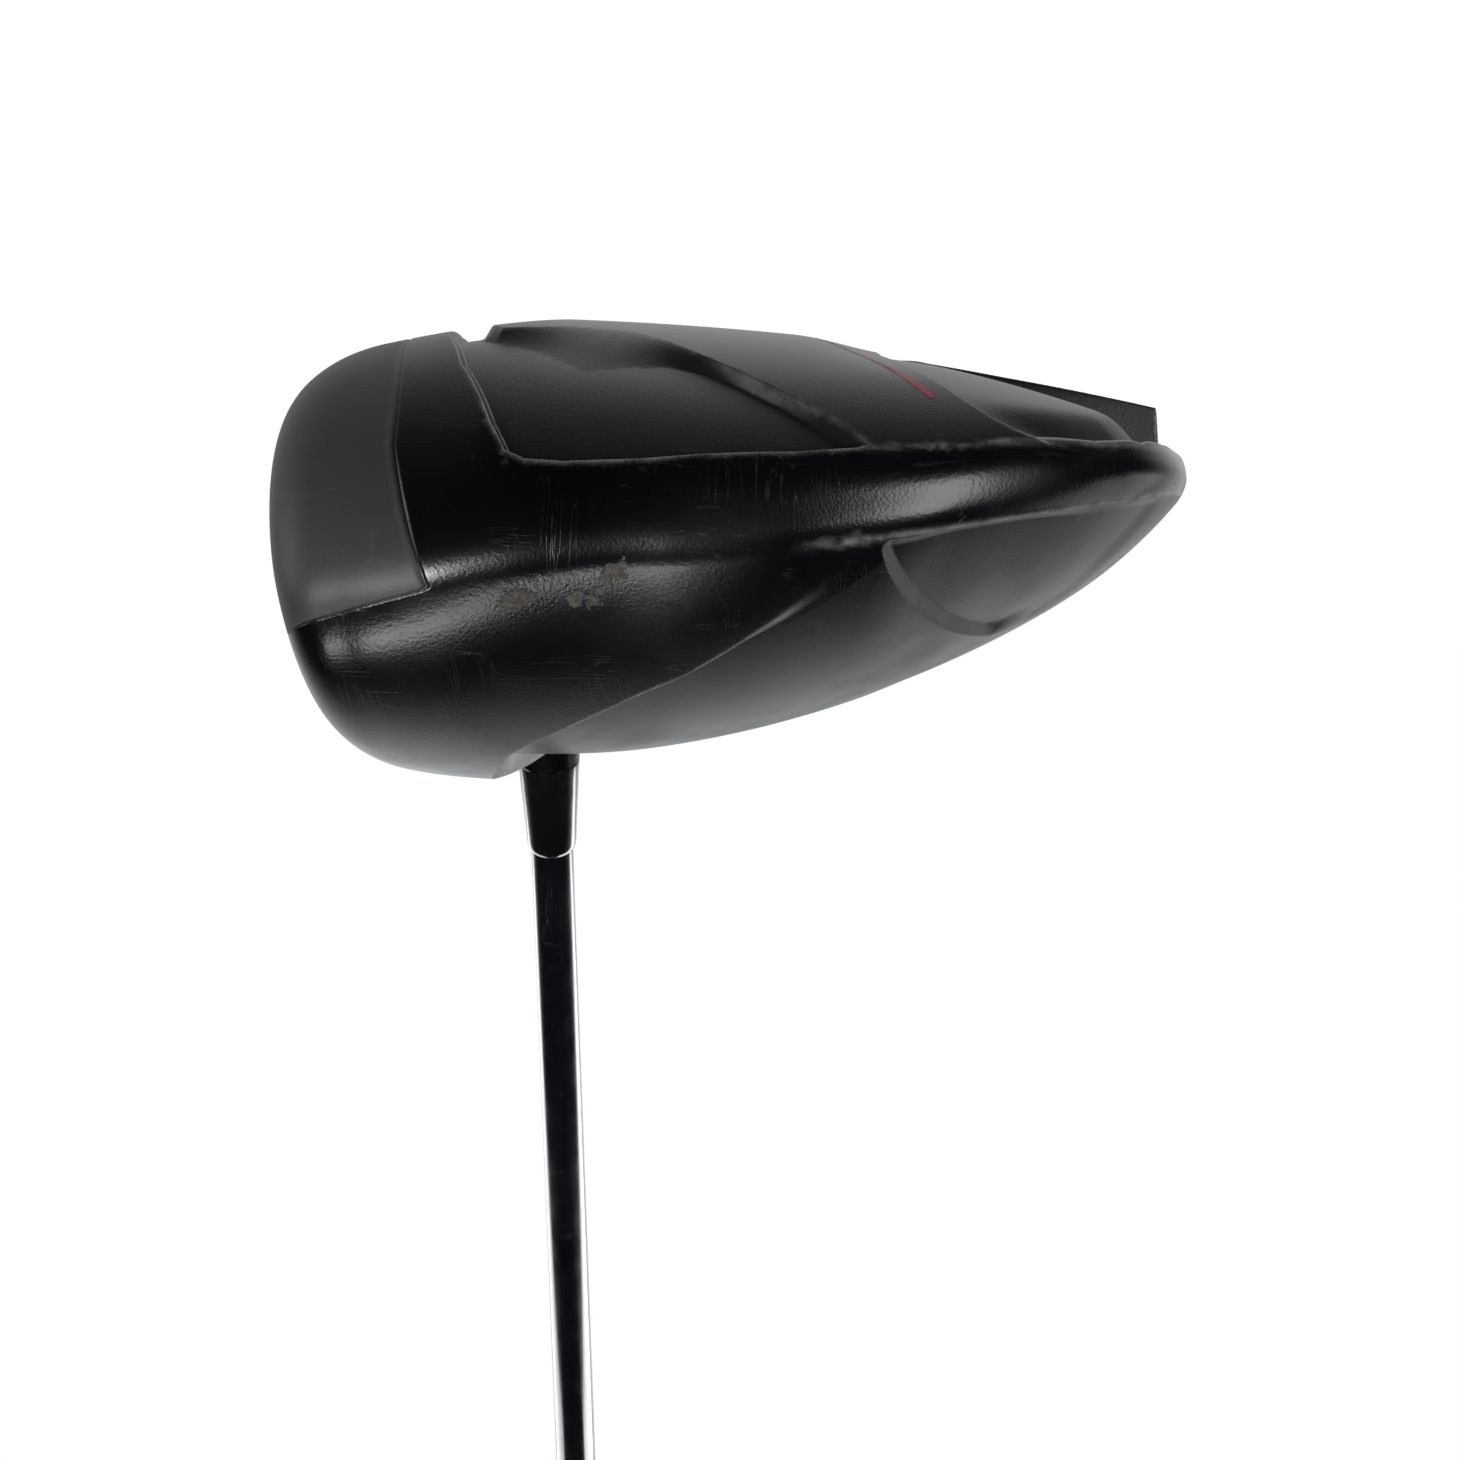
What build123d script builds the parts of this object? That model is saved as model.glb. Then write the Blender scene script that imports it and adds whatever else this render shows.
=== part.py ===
"""Golf driver: hollow titanium head, bonded shaft, grip and captive rear weight.

Frame, in millimetres: ground under the sole is Z = 0 with the club at address, the face looks
towards -Y, the toe is at -X and the shaft leaves the heel towards +X and +Z.
"""
from build123d import *
from math import cos, sin, pi, radians
import os

os.makedirs("parts", exist_ok=True)

# ---------------------------------------------------------------- head, outside
TOE_HALF = 60.0          # centre line to toe, seen from above
HEEL_HALF = 57.0         # centre line to heel
MID_X = -3.0             # centre line of the plan outline
MID_Y = 42.0             # widest station
FRONT_LEN = 50.0         # widest station to where the outline would close in front
REAR_LEN = 72.0          # widest station to the tail
FRONT_POWER = 3.2        # squareness of the outline in front
REAR_POWER = 2.1         # squareness of the outline behind
OUTLINE_END = 0.9995     # share of each length at which the outline counts as closed
WAIST_Z, WAIST_Y = 33.0, 20.0
WAIST_FALL = 0.15        # waist drops this much per millimetre towards the tail
CROWN_TOP = 62.8         # highest point of the front crown
STEP_DROP = 3.7          # rear crown lies this much below the front crown
STEP_Y = 21.5            # step line on the centre line
STEP_BOW = 0.006         # curve of the step line in front
RUN_X, RUN_Y = 33.8, 29.0  # where the step line turns into its steep run
RUN_SLOPE = 1.95
STEP_BLEND = 4.0         # rounding between the bow and the run
REAR_RISE = 36.0         # rear crown above its own tail height
TAIL_Z = 23.0            # rear crown height at the tail
LAST_Y = 113.0           # last station of the loft
FRONT_KEEL, FRONT_KEEL_Y = 9.5, 25.0
REAR_KEEL_Y, REAR_KEEL_RUN = 35.0, 29.0
CROWN_P, CROWN_Q = 1.85, 1.3
SOLE_P, SOLE_Q = 2.4, 1.4
LOFT_ANGLE = 10.5        # face loft, degrees
FACE_R = 305.0           # bulge and roll radius
FACE_Y, FACE_Z = -0.5, 30.0

# ---------------------------------------------------------------- head, walls
CROWN_WALL = 1.0
BOND = 0.2               # adhesive under the crown panel
LEDGE_WALL = 1.2
LEDGE_WIDTH = 7.0
FRONT_WALL = 1.3
FACE_WALL = 3.0
SOLE_RECESS = 1.6
RAIL_START, RAIL_RUN = 76.0, 37.0
RAIL_RISE = 3.4          # extra height of the rail over the sunk sole at its end
SOLE_WALL = 1.2

# ---------------------------------------------------------------- shaft axis
LIE = 59.0
AXIS_X, AXIS_Y = 33.0, 19.0
HOSEL_R = 6.0
HOSEL_TOP = 71.0         # lengths on this axis start at the ground
NECK_STRAIGHT = 64.0     # the neck is a plain tube above this length
NECK_SWELL = ((7.4, 50.0), (6.6, 34.0))
NECK_FOOT = 22.0
BORE_R = 4.35
BORE_END = 34.0
TIP_R = 4.25
TIP_START = 34.5
FERRULE_TOP = 92.0
PARALLEL_END = 104.0
KNEE_AT, KNEE_R = 303.0, 5.5
SHAFT_END, BUTT_R = 1146.0, 7.6
TIP_CORE_R, KNEE_CORE_R, BUTT_CORE_R = 2.3, 4.2, 6.6
TIP_PIN_LEN = 40.0
LABEL_START, LABEL_LEN, LABEL_T = 620.0, 95.0, 0.12
GRIP_START = 884.0
TAPE_T = 0.15
GRIP_MOUTH_R = 9.6
GRIP_BUTT_R = 12.6
LAND_R, LAND_LEN = 13.4, 7.0
CAP_T = 4.0
VENT_R = 1.5

# ---------------------------------------------------------------- weight port
PORT_Y = 98.0
PORT_TILT = 8.8          # sole slope at the port, degrees
PORT_R, PORT_DEPTH = 5.6, 7.2
PORT_WALL_R = 7.3
WEIGHT_R = 5.5
WEIGHT_TOP = 0.4         # weight lies this far below the sole
SEAL_T = 0.6
SHANK_R = 2.5
HEAD_R, HEAD_T = 3.8, 2.6
SOCKET_FLATS, SOCKET_DEEP = 3.2, 1.8
CLEAR = 0.05
BOSS_R, BOSS_LEN = 4.6, 9.0
ENGAGED = 6.4            # eight turns of an M5 thread, pitch 0.8
CLIP_R = 3.6
WEIGHT_BEVEL = 0.3
HEAD_SEAT = 0.2          # screw head lies this far below the top of the weight
HEAD_GAP = 0.1           # play round the screw head

# ---------------------------------------------------------------- sole layout, (x, y) on the toe side
PANEL_FRONT = ((0.0, 15.0), (25.0, 18.0), (51.0, 28.5), (56.0, 35.0))
PLATEAU_FRONT = ((0.0, 21.0), (5.0, 22.5), (9.0, 27.0), (12.0, 38.0), (17.0, 45.0),
                 (30.0, 51.0), (42.0, 59.0), (55.0, 68.0))
PLATEAU_REAR = ((54.0, 81.0), (45.0, 79.5), (20.0, 76.5), (9.0, 77.0), (8.2, 81.0))
RAIL_END = (7.4, 113.0)
HEEL_NARROW = 3.0        # heel side outlines sit this much closer in
STRIPE = ((22.0, 73.2), (44.0, 76.0), (44.0, 77.0), (22.0, 74.2))
STRIPE_DEEP = 0.3
SKIRT_LIP = 3.5
PANEL_TAIL = 109.0       # tail end of the crown panel and of the sunk sole

BASE = 22.0              # height inside the hollow where upright cutters start
SKY = 90.0
STATIONS = (-5, -2, 2, 8, 14, 21.5, 30, 42, 54, 66, 78, 90, 100, 108, LAST_Y)


def half_width(y, half):
    """Half the plan width at station y."""
    reach = FRONT_LEN if y < MID_Y else REAR_LEN
    power = FRONT_POWER if y < MID_Y else REAR_POWER
    share = min(abs(y - MID_Y) / reach, OUTLINE_END)
    return half * (1 - share**power) ** (1 / power)


def waist(y):
    """Height of the widest line of the skirt."""
    return WAIST_Z - WAIST_FALL * (y - WAIST_Y)


def rear_crown(y):
    """Centre line height of the sunk rear crown."""
    share = max(0.0, (y - STEP_Y) / (LAST_Y + 0.5 - STEP_Y))
    return TAIL_Z + REAR_RISE * (1 - share**1.9) ** 0.87


def front_crown(y):
    """Centre line height of the crown in front of the step, carried on to the tail."""
    if y > STEP_Y:
        return rear_crown(y) + STEP_DROP
    share = (MID_Y - y) / FRONT_LEN
    return waist(y) + (CROWN_TOP - waist(y)) * (1 - share**4) ** 0.77


def keel(y):
    """Lowest line of the sole."""
    front = FRONT_KEEL * (max(FRONT_KEEL_Y - y, 0.0) / FRONT_KEEL_Y) ** 2.2
    rear = (max(y - REAR_KEEL_Y, 0.0) / REAR_KEEL_RUN) ** 2
    return front + rear


def no_lift(y):
    return 0.0


def stripe_lift(y):
    return STRIPE_DEEP


def sunk(y):
    """Depth of the sunk sole beside the keel, growing towards the tail."""
    return SOLE_RECESS + RAIL_RISE * max(0.0, (y - RAIL_START) / RAIL_RUN)


def sunk_inside(y):
    return sunk(y) + SOLE_WALL


def half_section(y, top, power, root, inset):
    """Toe to heel over one side of a section, from powers of sine and cosine."""
    steps = 16
    points = []
    for i in range(steps + 1):
        angle = pi * i / steps
        toe_side = i * 2 < steps
        reach = half_width(y, TOE_HALF if toe_side else HEEL_HALF) - inset
        across = abs(cos(angle)) ** (2 / power)
        rise = sin(angle) ** (2 / root) if 0 < i < steps else 0.0
        x = MID_X + (-reach if toe_side else reach) * across
        points.append((x, waist(y) + (top - waist(y)) * rise))
    return points


def skin(crown, inset, lift):
    """Closed solid inside the head surface, moved in by inset and by lift at the sole."""
    with BuildPart() as solid:
        for y in STATIONS:
            upper = half_section(y, crown(y) - inset, CROWN_P, CROWN_Q, inset)
            lower = half_section(y, keel(y) + lift(y), SOLE_P, SOLE_Q, inset)
            with BuildSketch(Plane.XZ.offset(-y)):
                with BuildLine():
                    Spline(*upper)
                    Spline(*lower)
                make_face()
        loft()
    return solid.part


def step_line(x, inset):
    """Plan line of the crown step: a shallow bow in front, then a steep run to the skirt."""
    bow = STEP_Y + inset + STEP_BOW * x * x
    run = RUN_Y + RUN_SLOPE * (abs(x) + inset - RUN_X)
    blend = max(STEP_BLEND - abs(bow - run), 0.0)
    return max(bow, run) + blend * blend / (4.0 * STEP_BLEND)


def side_x(y, inset, half):
    return half_width(y, half) - SKIRT_LIP - 2.0 - inset


def meeting_y(inset, half, side):
    """Station where the step line reaches the edge of the crown panel."""
    low, high = 50.0, 95.0
    for _ in range(30):
        middle = (low + high) / 2
        if step_line(MID_X + side * side_x(middle, inset, half), inset) > middle:
            low = middle
        else:
            high = middle
    return low


def crown_prism(inset):
    """Upright solid over the crown panel, its outline moved in by inset."""
    toe_y = meeting_y(inset, TOE_HALF, -1)
    heel_y = meeting_y(inset, HEEL_HALF, 1)
    toe_x = MID_X - side_x(toe_y, inset, TOE_HALF)
    heel_x = MID_X + side_x(heel_y, inset, HEEL_HALF)
    count = 14
    front = []
    for i in range(count + 1):
        x = toe_x + (heel_x - toe_x) * i / count
        front.append((x, step_line(x, inset)))
    tail_y = PANEL_TAIL - inset
    toe_edge = []
    heel_edge = []
    for i in range(5):
        along_toe = toe_y + (tail_y - 2.5 - toe_y) * sin(i * pi / 8)
        along_heel = heel_y + (tail_y - 2.5 - heel_y) * sin(i * pi / 8)
        toe_edge.append((MID_X - side_x(along_toe, inset, TOE_HALF), along_toe))
        heel_edge.append((MID_X + side_x(along_heel, inset, HEEL_HALF), along_heel))
    back = [front[-1]] + heel_edge[1:] + [(MID_X, tail_y)] + toe_edge[::-1][:-1] + [front[0]]
    with BuildPart() as solid:
        with BuildSketch(Plane.XY.offset(BASE)):
            with BuildLine():
                Spline(*front)
                Spline(*back)
            make_face()
        extrude(amount=SKY - BASE)
    return solid.part


def above(prism, floor):
    """What is left of an upright prism above a floor solid."""
    with BuildPart() as solid:
        add(prism)
        add(floor, mode=Mode.SUBTRACT)
    return solid.part


def upright(points, low, high):
    """Upright solid over a polygon."""
    with BuildPart() as solid:
        with BuildSketch(Plane.XY.offset(low)):
            with BuildLine():
                Polyline(*points, close=True)
            make_face()
        extrude(amount=high - low)
    return solid.part


def on_side(points, side):
    """Sole layout points for the toe (side -1) or the heel (side 1)."""
    narrow = 0.0 if side < 0 else HEEL_NARROW
    placed = []
    for x, y in points:
        placed.append((side * max(x - narrow * x / 60.0, 0.0), y))
    return placed


def skirt_run(first_y, last_y, side):
    """Points just inside the skirt between two stations."""
    half = TOE_HALF if side < 0 else HEEL_HALF
    points = []
    for i in range(6):
        y = first_y + (last_y - first_y) * i / 5
        points.append((MID_X + side * (half_width(y, half) - SKIRT_LIP), y))
    return points


# ---------------------------------------------------------------- whole head, outside and hollow
outer_loft = skin(front_crown, 0.0, no_lift)
rear_loft = skin(rear_crown, 0.0, no_lift)
panel_floor = skin(rear_crown, CROWN_WALL, no_lift)
bond_floor = skin(rear_crown, CROWN_WALL + BOND, no_lift)
ledge_floor = skin(rear_crown, CROWN_WALL + BOND + LEDGE_WALL, no_lift)
sole_floor = skin(front_crown, 0.0, sunk)
stripe_floor = skin(front_crown, 0.0, stripe_lift)
hollow_loft = skin(front_crown, FRONT_WALL, sunk_inside)

panel_prism = crown_prism(0.0)
ledge_prism = crown_prism(LEDGE_WIDTH)
riser_prism = crown_prism(-FRONT_WALL)

face_back = (0, FACE_Y + FACE_R * cos(radians(LOFT_ANGLE)), FACE_Z - FACE_R * sin(radians(LOFT_ANGLE)))


def ball(wall):
    """Sphere whose skin is the face surface moved in by wall."""
    with BuildPart() as solid:
        with Locations(face_back):
            Sphere(FACE_R - wall)
    return solid.part


with BuildPart() as outside:
    add(outer_loft)
    add(ball(0.0), mode=Mode.INTERSECT)
    add(above(panel_prism, rear_loft), mode=Mode.SUBTRACT)

# Sunk sole: one field in front of the plateau and one on each side of the tail rail.
front_field = on_side(PANEL_FRONT, -1) + skirt_run(40.0, 67.0, -1) + on_side(PLATEAU_FRONT[::-1], -1)
front_field += on_side(PLATEAU_FRONT[1:], 1) + skirt_run(67.0, 40.0, 1) + on_side(PANEL_FRONT[:0:-1], 1)


def tail_field(side):
    rail = on_side(PLATEAU_REAR + (RAIL_END,), side)
    return rail + skirt_run(PANEL_TAIL, 82.0, side)


with BuildPart() as sunk_fields:
    add(upright(front_field, -5.0, waist(70.0)))
    add(upright(tail_field(-1), -5.0, waist(90.0)))
    add(upright(tail_field(1), -5.0, waist(90.0)))
    add(sole_floor, mode=Mode.SUBTRACT)

with BuildPart() as hollow:
    add(hollow_loft)
    add(ball(FACE_WALL), mode=Mode.INTERSECT)
    add(above(riser_prism, ledge_floor), mode=Mode.SUBTRACT)
    add(upright(((-70, -10), (70, -10), (70, LAST_Y - 2.5), (-70, LAST_Y - 2.5)), -5.0, SKY),
        mode=Mode.INTERSECT)

# ---------------------------------------------------------------- shaft axis and port planes
axis_dir = (cos(radians(LIE)), 0, sin(radians(LIE)))


def axis_plane(length):
    """Plane square to the shaft axis, length up from the ground."""
    origin = (AXIS_X + length * axis_dir[0], AXIS_Y, length * axis_dir[2])
    return Plane(origin=origin, x_dir=(0, 1, 0), z_dir=axis_dir)


def turned(profile, plane):
    """Solid of revolution about a plane's Z axis from (radius, height) points."""
    with BuildPart() as solid:
        with BuildSketch(Plane(origin=plane.origin, x_dir=plane.x_dir, z_dir=-plane.y_dir)):
            with BuildLine():
                Polyline(*profile, close=True)
            make_face()
        revolve(axis=Axis(plane.origin, plane.z_dir))
    return solid.part


ground_plane = axis_plane(0.0)
port_out = (0, sin(radians(PORT_TILT)), -cos(radians(PORT_TILT)))
port_plane = Plane(origin=(0, PORT_Y, keel(PORT_Y)), x_dir=(1, 0, 0), z_dir=port_out)


def port_disc(radius, top, bottom):
    """Round solid on the port axis between two depths below the sole."""
    with BuildPart(port_plane) as solid:
        with Locations((0, 0, -bottom)):
            Cylinder(radius, bottom - top, align=(Align.CENTER, Align.CENTER, Align.MIN))
    return solid.part


with BuildPart() as neck:
    with BuildSketch(Plane(origin=ground_plane.origin, x_dir=(0, 1, 0), z_dir=-ground_plane.y_dir)):
        with BuildLine():
            Line((0, NECK_FOOT), (0, HOSEL_TOP))
            Line((0, HOSEL_TOP), (HOSEL_R, HOSEL_TOP))
            Line((HOSEL_R, HOSEL_TOP), (HOSEL_R, NECK_STRAIGHT))
            Spline((HOSEL_R, NECK_STRAIGHT), *NECK_SWELL, (0, NECK_FOOT), tangents=((0, -1), (-1, 0)))
        make_face()
    revolve(axis=Axis(ground_plane.origin, ground_plane.z_dir))

with BuildPart() as shell:
    add(outside.part)
    add(sunk_fields.part, mode=Mode.SUBTRACT)
    add(hollow.part, mode=Mode.SUBTRACT)
    add(above(panel_prism, bond_floor), mode=Mode.SUBTRACT)
    add(ledge_prism, mode=Mode.SUBTRACT)

# ---------------------------------------------------------------- face cup and head body
CUP_PROFILE = ((-20.0, -6.0), (10.6, -6.0), (12.4, 9.6), (19.0, 26.6), (20.8, 38.0), (21.8, 41.9),
               (13.6, 44.7), (5.0, 50.0), (5.0, 75.0), (-20.0, 75.0))
HEEL_SEAM_X, HEEL_SEAM_Y = 34.0, 9.0

with BuildPart() as cup_region:
    with BuildSketch(Plane.YZ.offset(-80.0)):
        with BuildLine():
            Polyline(*CUP_PROFILE, close=True)
        make_face()
    extrude(amount=160.0)
    with Locations((HEEL_SEAM_X, HEEL_SEAM_Y, -10.0)):
        Box(60, 60, 90, align=(Align.MIN, Align.MIN, Align.MIN), mode=Mode.SUBTRACT)

with BuildPart() as face_cup:
    add(shell.part)
    add(cup_region.part, mode=Mode.INTERSECT)

PORT_BACK = PORT_DEPTH + BOSS_LEN + 1.5


def stripe_prism(side):
    return upright(on_side(STRIPE, side), -5.0, 14.0)


with BuildPart() as port_housing:
    add(port_disc(PORT_WALL_R, -8.0, PORT_BACK))
    add(outside.part, mode=Mode.INTERSECT)

with BuildPart() as head_body:
    add(shell.part)
    add(cup_region.part, mode=Mode.SUBTRACT)
    add(port_housing.part)
    add(port_disc(PORT_R, -8.0, PORT_DEPTH), mode=Mode.SUBTRACT)
    add(port_disc(BOSS_R, PORT_DEPTH, PORT_DEPTH + BOSS_LEN), mode=Mode.SUBTRACT)
    add(neck.part)
    add(turned(((0, BORE_END), (BORE_R, BORE_END), (BORE_R, HOSEL_TOP + 1), (0, HOSEL_TOP + 1)),
               ground_plane), mode=Mode.SUBTRACT)
    for side in (-1, 1):
        add(above(stripe_prism(side), stripe_floor), mode=Mode.SUBTRACT)
head_body.part.label = "head_body"
face_cup.part.label = "face_cup"

with BuildPart() as crown_panel:
    add(above(panel_prism, panel_floor))
    add(outside.part, mode=Mode.INTERSECT)
crown_panel.part.label = "crown_panel"

with BuildPart() as crown_bond:
    add(panel_floor)
    add(bond_floor, mode=Mode.SUBTRACT)
    add(panel_prism, mode=Mode.INTERSECT)
    add(ledge_prism, mode=Mode.SUBTRACT)
crown_bond.part.label = "crown_bond"

with BuildPart() as stripe_toe:
    add(above(stripe_prism(-1), stripe_floor))
    add(outside.part, mode=Mode.INTERSECT)
stripe_toe.part.label = "stripe_toe"

with BuildPart() as stripe_heel:
    add(above(stripe_prism(1), stripe_floor))
    add(outside.part, mode=Mode.INTERSECT)
stripe_heel.part.label = "stripe_heel"

# ---------------------------------------------------------------- damping glue inside the toe
GLUE_X, GLUE_Y, GLUE_R, GLUE_T = -34.0, 36.0, 11.0, 3.0

with BuildPart() as damping_glue:
    with BuildSketch(Plane.XY.offset(-2.0)):
        with Locations((GLUE_X, GLUE_Y)):
            Ellipse(GLUE_R, GLUE_R * 0.7)
    extrude(amount=30.0)
    add(hollow_loft, mode=Mode.INTERSECT)
    add(skin(front_crown, FRONT_WALL, lambda y: sunk_inside(y) + GLUE_T), mode=Mode.SUBTRACT)
damping_glue.part.label = "damping_glue"

# ---------------------------------------------------------------- rear weight
with BuildPart() as port_boss:
    add(port_disc(BOSS_R, PORT_DEPTH, PORT_DEPTH + BOSS_LEN))
    add(port_disc(SHANK_R + CLEAR, PORT_DEPTH, PORT_DEPTH + BOSS_LEN), mode=Mode.SUBTRACT)
port_boss.part.label = "port_boss"

SEAL_TOP = PORT_DEPTH - SEAL_T
HEAD_TOP = WEIGHT_TOP + HEAD_SEAT
HEAD_UNDER = HEAD_TOP + HEAD_T
with BuildPart() as rear_weight:
    add(port_disc(WEIGHT_R, WEIGHT_TOP, SEAL_TOP))
    chamfer(rear_weight.edges().filter_by(GeomType.CIRCLE), WEIGHT_BEVEL)
    add(port_disc(HEAD_R + HEAD_GAP, -1.0, HEAD_UNDER + CLEAR), mode=Mode.SUBTRACT)
    add(port_disc(SHANK_R + CLEAR, -1.0, PORT_DEPTH + 1), mode=Mode.SUBTRACT)
rear_weight.part.label = "rear_weight"

with BuildPart() as weight_seal:
    add(port_disc(WEIGHT_R - 0.1, SEAL_TOP, PORT_DEPTH))
    add(port_disc(CLIP_R + 0.3, SEAL_TOP - 1, PORT_DEPTH + 1), mode=Mode.SUBTRACT)
weight_seal.part.label = "weight_seal"

with BuildPart() as weight_screw:
    add(port_disc(HEAD_R, HEAD_TOP, HEAD_UNDER))
    add(port_disc(SHANK_R, HEAD_UNDER, PORT_DEPTH + ENGAGED))
    with BuildSketch(Plane(origin=port_plane.origin, x_dir=(1, 0, 0), z_dir=port_out).offset(0.5)):
        RegularPolygon(SOCKET_FLATS / 2, 6, major_radius=False)
    extrude(amount=-0.5 - HEAD_TOP - SOCKET_DEEP, mode=Mode.SUBTRACT)
weight_screw.part.label = "weight_screw"

with BuildPart() as screw_clip:
    add(port_disc(CLIP_R, SEAL_TOP + CLEAR, PORT_DEPTH - CLEAR))
    add(port_disc(SHANK_R, SEAL_TOP - 1, PORT_DEPTH + 1), mode=Mode.SUBTRACT)
screw_clip.part.label = "screw_clip"


# ---------------------------------------------------------------- shaft and what is glued to it
def shaft_r(length):
    """Outside radius of the shaft: parallel tip, quick taper, slow taper."""
    if length <= PARALLEL_END:
        return TIP_R
    if length <= KNEE_AT:
        return TIP_R + (KNEE_R - TIP_R) * (length - PARALLEL_END) / (KNEE_AT - PARALLEL_END)
    return KNEE_R + (BUTT_R - KNEE_R) * (length - KNEE_AT) / (SHAFT_END - KNEE_AT)


with BuildPart() as shaft:
    add(turned(((TIP_CORE_R, TIP_START), (TIP_R, TIP_START), (TIP_R, PARALLEL_END), (KNEE_R, KNEE_AT),
                (BUTT_R, SHAFT_END), (BUTT_CORE_R, SHAFT_END), (KNEE_CORE_R, KNEE_AT),
                (TIP_CORE_R, PARALLEL_END)), ground_plane))
shaft.part.label = "shaft"

with BuildPart() as hosel_bond:
    add(turned(((TIP_R, TIP_START), (BORE_R, TIP_START), (BORE_R, HOSEL_TOP), (TIP_R, HOSEL_TOP)),
               ground_plane))
hosel_bond.part.label = "hosel_bond"

with BuildPart() as tip_pin:
    add(turned(((0, TIP_START), (TIP_CORE_R, TIP_START), (TIP_CORE_R, TIP_START + TIP_PIN_LEN),
                (0, TIP_START + TIP_PIN_LEN)), ground_plane))
tip_pin.part.label = "tip_pin"

with BuildPart() as ferrule:
    add(turned(((TIP_R, HOSEL_TOP), (HOSEL_R, HOSEL_TOP), (5.8, 74.0), (4.95, FERRULE_TOP - 2.2),
                (4.85, FERRULE_TOP - 1.0), (4.55, FERRULE_TOP - 0.2), (TIP_R, FERRULE_TOP)),
               ground_plane))
ferrule.part.label = "ferrule"


def sleeve(start, end, inner, outer):
    """Thin tapered sleeve on the shaft between two lengths, offsets from the shaft surface."""
    return turned(((shaft_r(start) + inner, start), (shaft_r(start) + outer, start),
                   (shaft_r(end) + outer, end), (shaft_r(end) + inner, end)), ground_plane)


with BuildPart() as shaft_label:
    add(sleeve(LABEL_START, LABEL_START + LABEL_LEN, 0.0, LABEL_T))
shaft_label.part.label = "shaft_label"

with BuildPart() as grip_tape:
    add(sleeve(GRIP_START + 4.0, SHAFT_END, 0.0, TAPE_T))
grip_tape.part.label = "grip_tape"

CAP_END = SHAFT_END + CAP_T
LAND_START = CAP_END - LAND_LEN
with BuildPart() as grip:
    add(turned(((shaft_r(GRIP_START) + TAPE_T, GRIP_START), (GRIP_MOUTH_R - 0.8, GRIP_START),
                (GRIP_MOUTH_R, GRIP_START + 1.5), (10.2, GRIP_START + 80.0),
                (11.6, GRIP_START + 180.0), (GRIP_BUTT_R, LAND_START - 9.0),
                (LAND_R - 0.4, LAND_START), (shaft_r(LAND_START) + TAPE_T, LAND_START)), ground_plane))
grip.part.label = "grip"

with BuildPart() as grip_cap:
    add(turned(((VENT_R, SHAFT_END), (shaft_r(SHAFT_END) + TAPE_T, SHAFT_END),
                (shaft_r(LAND_START) + TAPE_T, LAND_START), (LAND_R, LAND_START),
                (LAND_R, CAP_END), (VENT_R, CAP_END)), ground_plane))
grip_cap.part.label = "grip_cap"

export_step(head_body.part, "parts/head_body.step")
export_step(face_cup.part, "parts/face_cup.step")
export_step(crown_panel.part, "parts/crown_panel.step")
export_step(crown_bond.part, "parts/crown_bond.step")
export_step(stripe_toe.part, "parts/stripe_toe.step")
export_step(stripe_heel.part, "parts/stripe_heel.step")
export_step(damping_glue.part, "parts/damping_glue.step")
export_step(port_boss.part, "parts/port_boss.step")
export_step(rear_weight.part, "parts/rear_weight.step")
export_step(weight_seal.part, "parts/weight_seal.step")
export_step(weight_screw.part, "parts/weight_screw.step")
export_step(screw_clip.part, "parts/screw_clip.step")
export_step(hosel_bond.part, "parts/hosel_bond.step")
export_step(tip_pin.part, "parts/tip_pin.step")
export_step(ferrule.part, "parts/ferrule.step")
export_step(shaft.part, "parts/shaft.step")
export_step(shaft_label.part, "parts/shaft_label.step")
export_step(grip_tape.part, "parts/grip_tape.step")
export_step(grip.part, "parts/grip.step")
export_step(grip_cap.part, "parts/grip_cap.step")
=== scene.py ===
import math

import bpy
import numpy as np
from mathutils import Matrix, Vector


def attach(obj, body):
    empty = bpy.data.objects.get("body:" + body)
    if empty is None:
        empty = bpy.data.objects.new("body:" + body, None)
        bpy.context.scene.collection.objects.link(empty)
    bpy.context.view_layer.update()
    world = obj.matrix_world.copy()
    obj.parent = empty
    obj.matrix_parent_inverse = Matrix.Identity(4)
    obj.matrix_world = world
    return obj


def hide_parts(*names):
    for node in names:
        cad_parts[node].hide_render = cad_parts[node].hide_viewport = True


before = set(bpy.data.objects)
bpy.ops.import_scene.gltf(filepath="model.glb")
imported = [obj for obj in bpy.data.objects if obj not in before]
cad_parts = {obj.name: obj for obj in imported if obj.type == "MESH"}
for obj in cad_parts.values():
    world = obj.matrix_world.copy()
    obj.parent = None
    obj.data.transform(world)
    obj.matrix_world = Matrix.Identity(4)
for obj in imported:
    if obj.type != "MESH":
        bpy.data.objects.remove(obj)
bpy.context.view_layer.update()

# ------------ head: driving sizes, millimetres
MM = 0.001
MID_X, MID_Y = -3.0, 42.0  # centre of the plan outline
TOE_HALF, HEEL_HALF = 60.0, 57.0
FRONT_LEN, REAR_LEN = 50.0, 73.5
FRONT_POWER, REAR_POWER = 4.0, 2.1
CROWN_TOP, STEP_DROP, STEP_Y = 62.8, 3.7, 21.5
CREASE = 0.91  # share of the half width where crown and skirt meet
FACE_R, LOFT = 340.0, math.radians(10.5)
FACE_POINT = np.array((0.0, -0.5, 30.0))
HEART = np.array((-3.0, 50.0, 28.0))  # every ray to the head's surface starts here
LIE = math.radians(59.0)
AXIS_FOOT = np.array((33.0, 19.0, 0.0))
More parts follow.
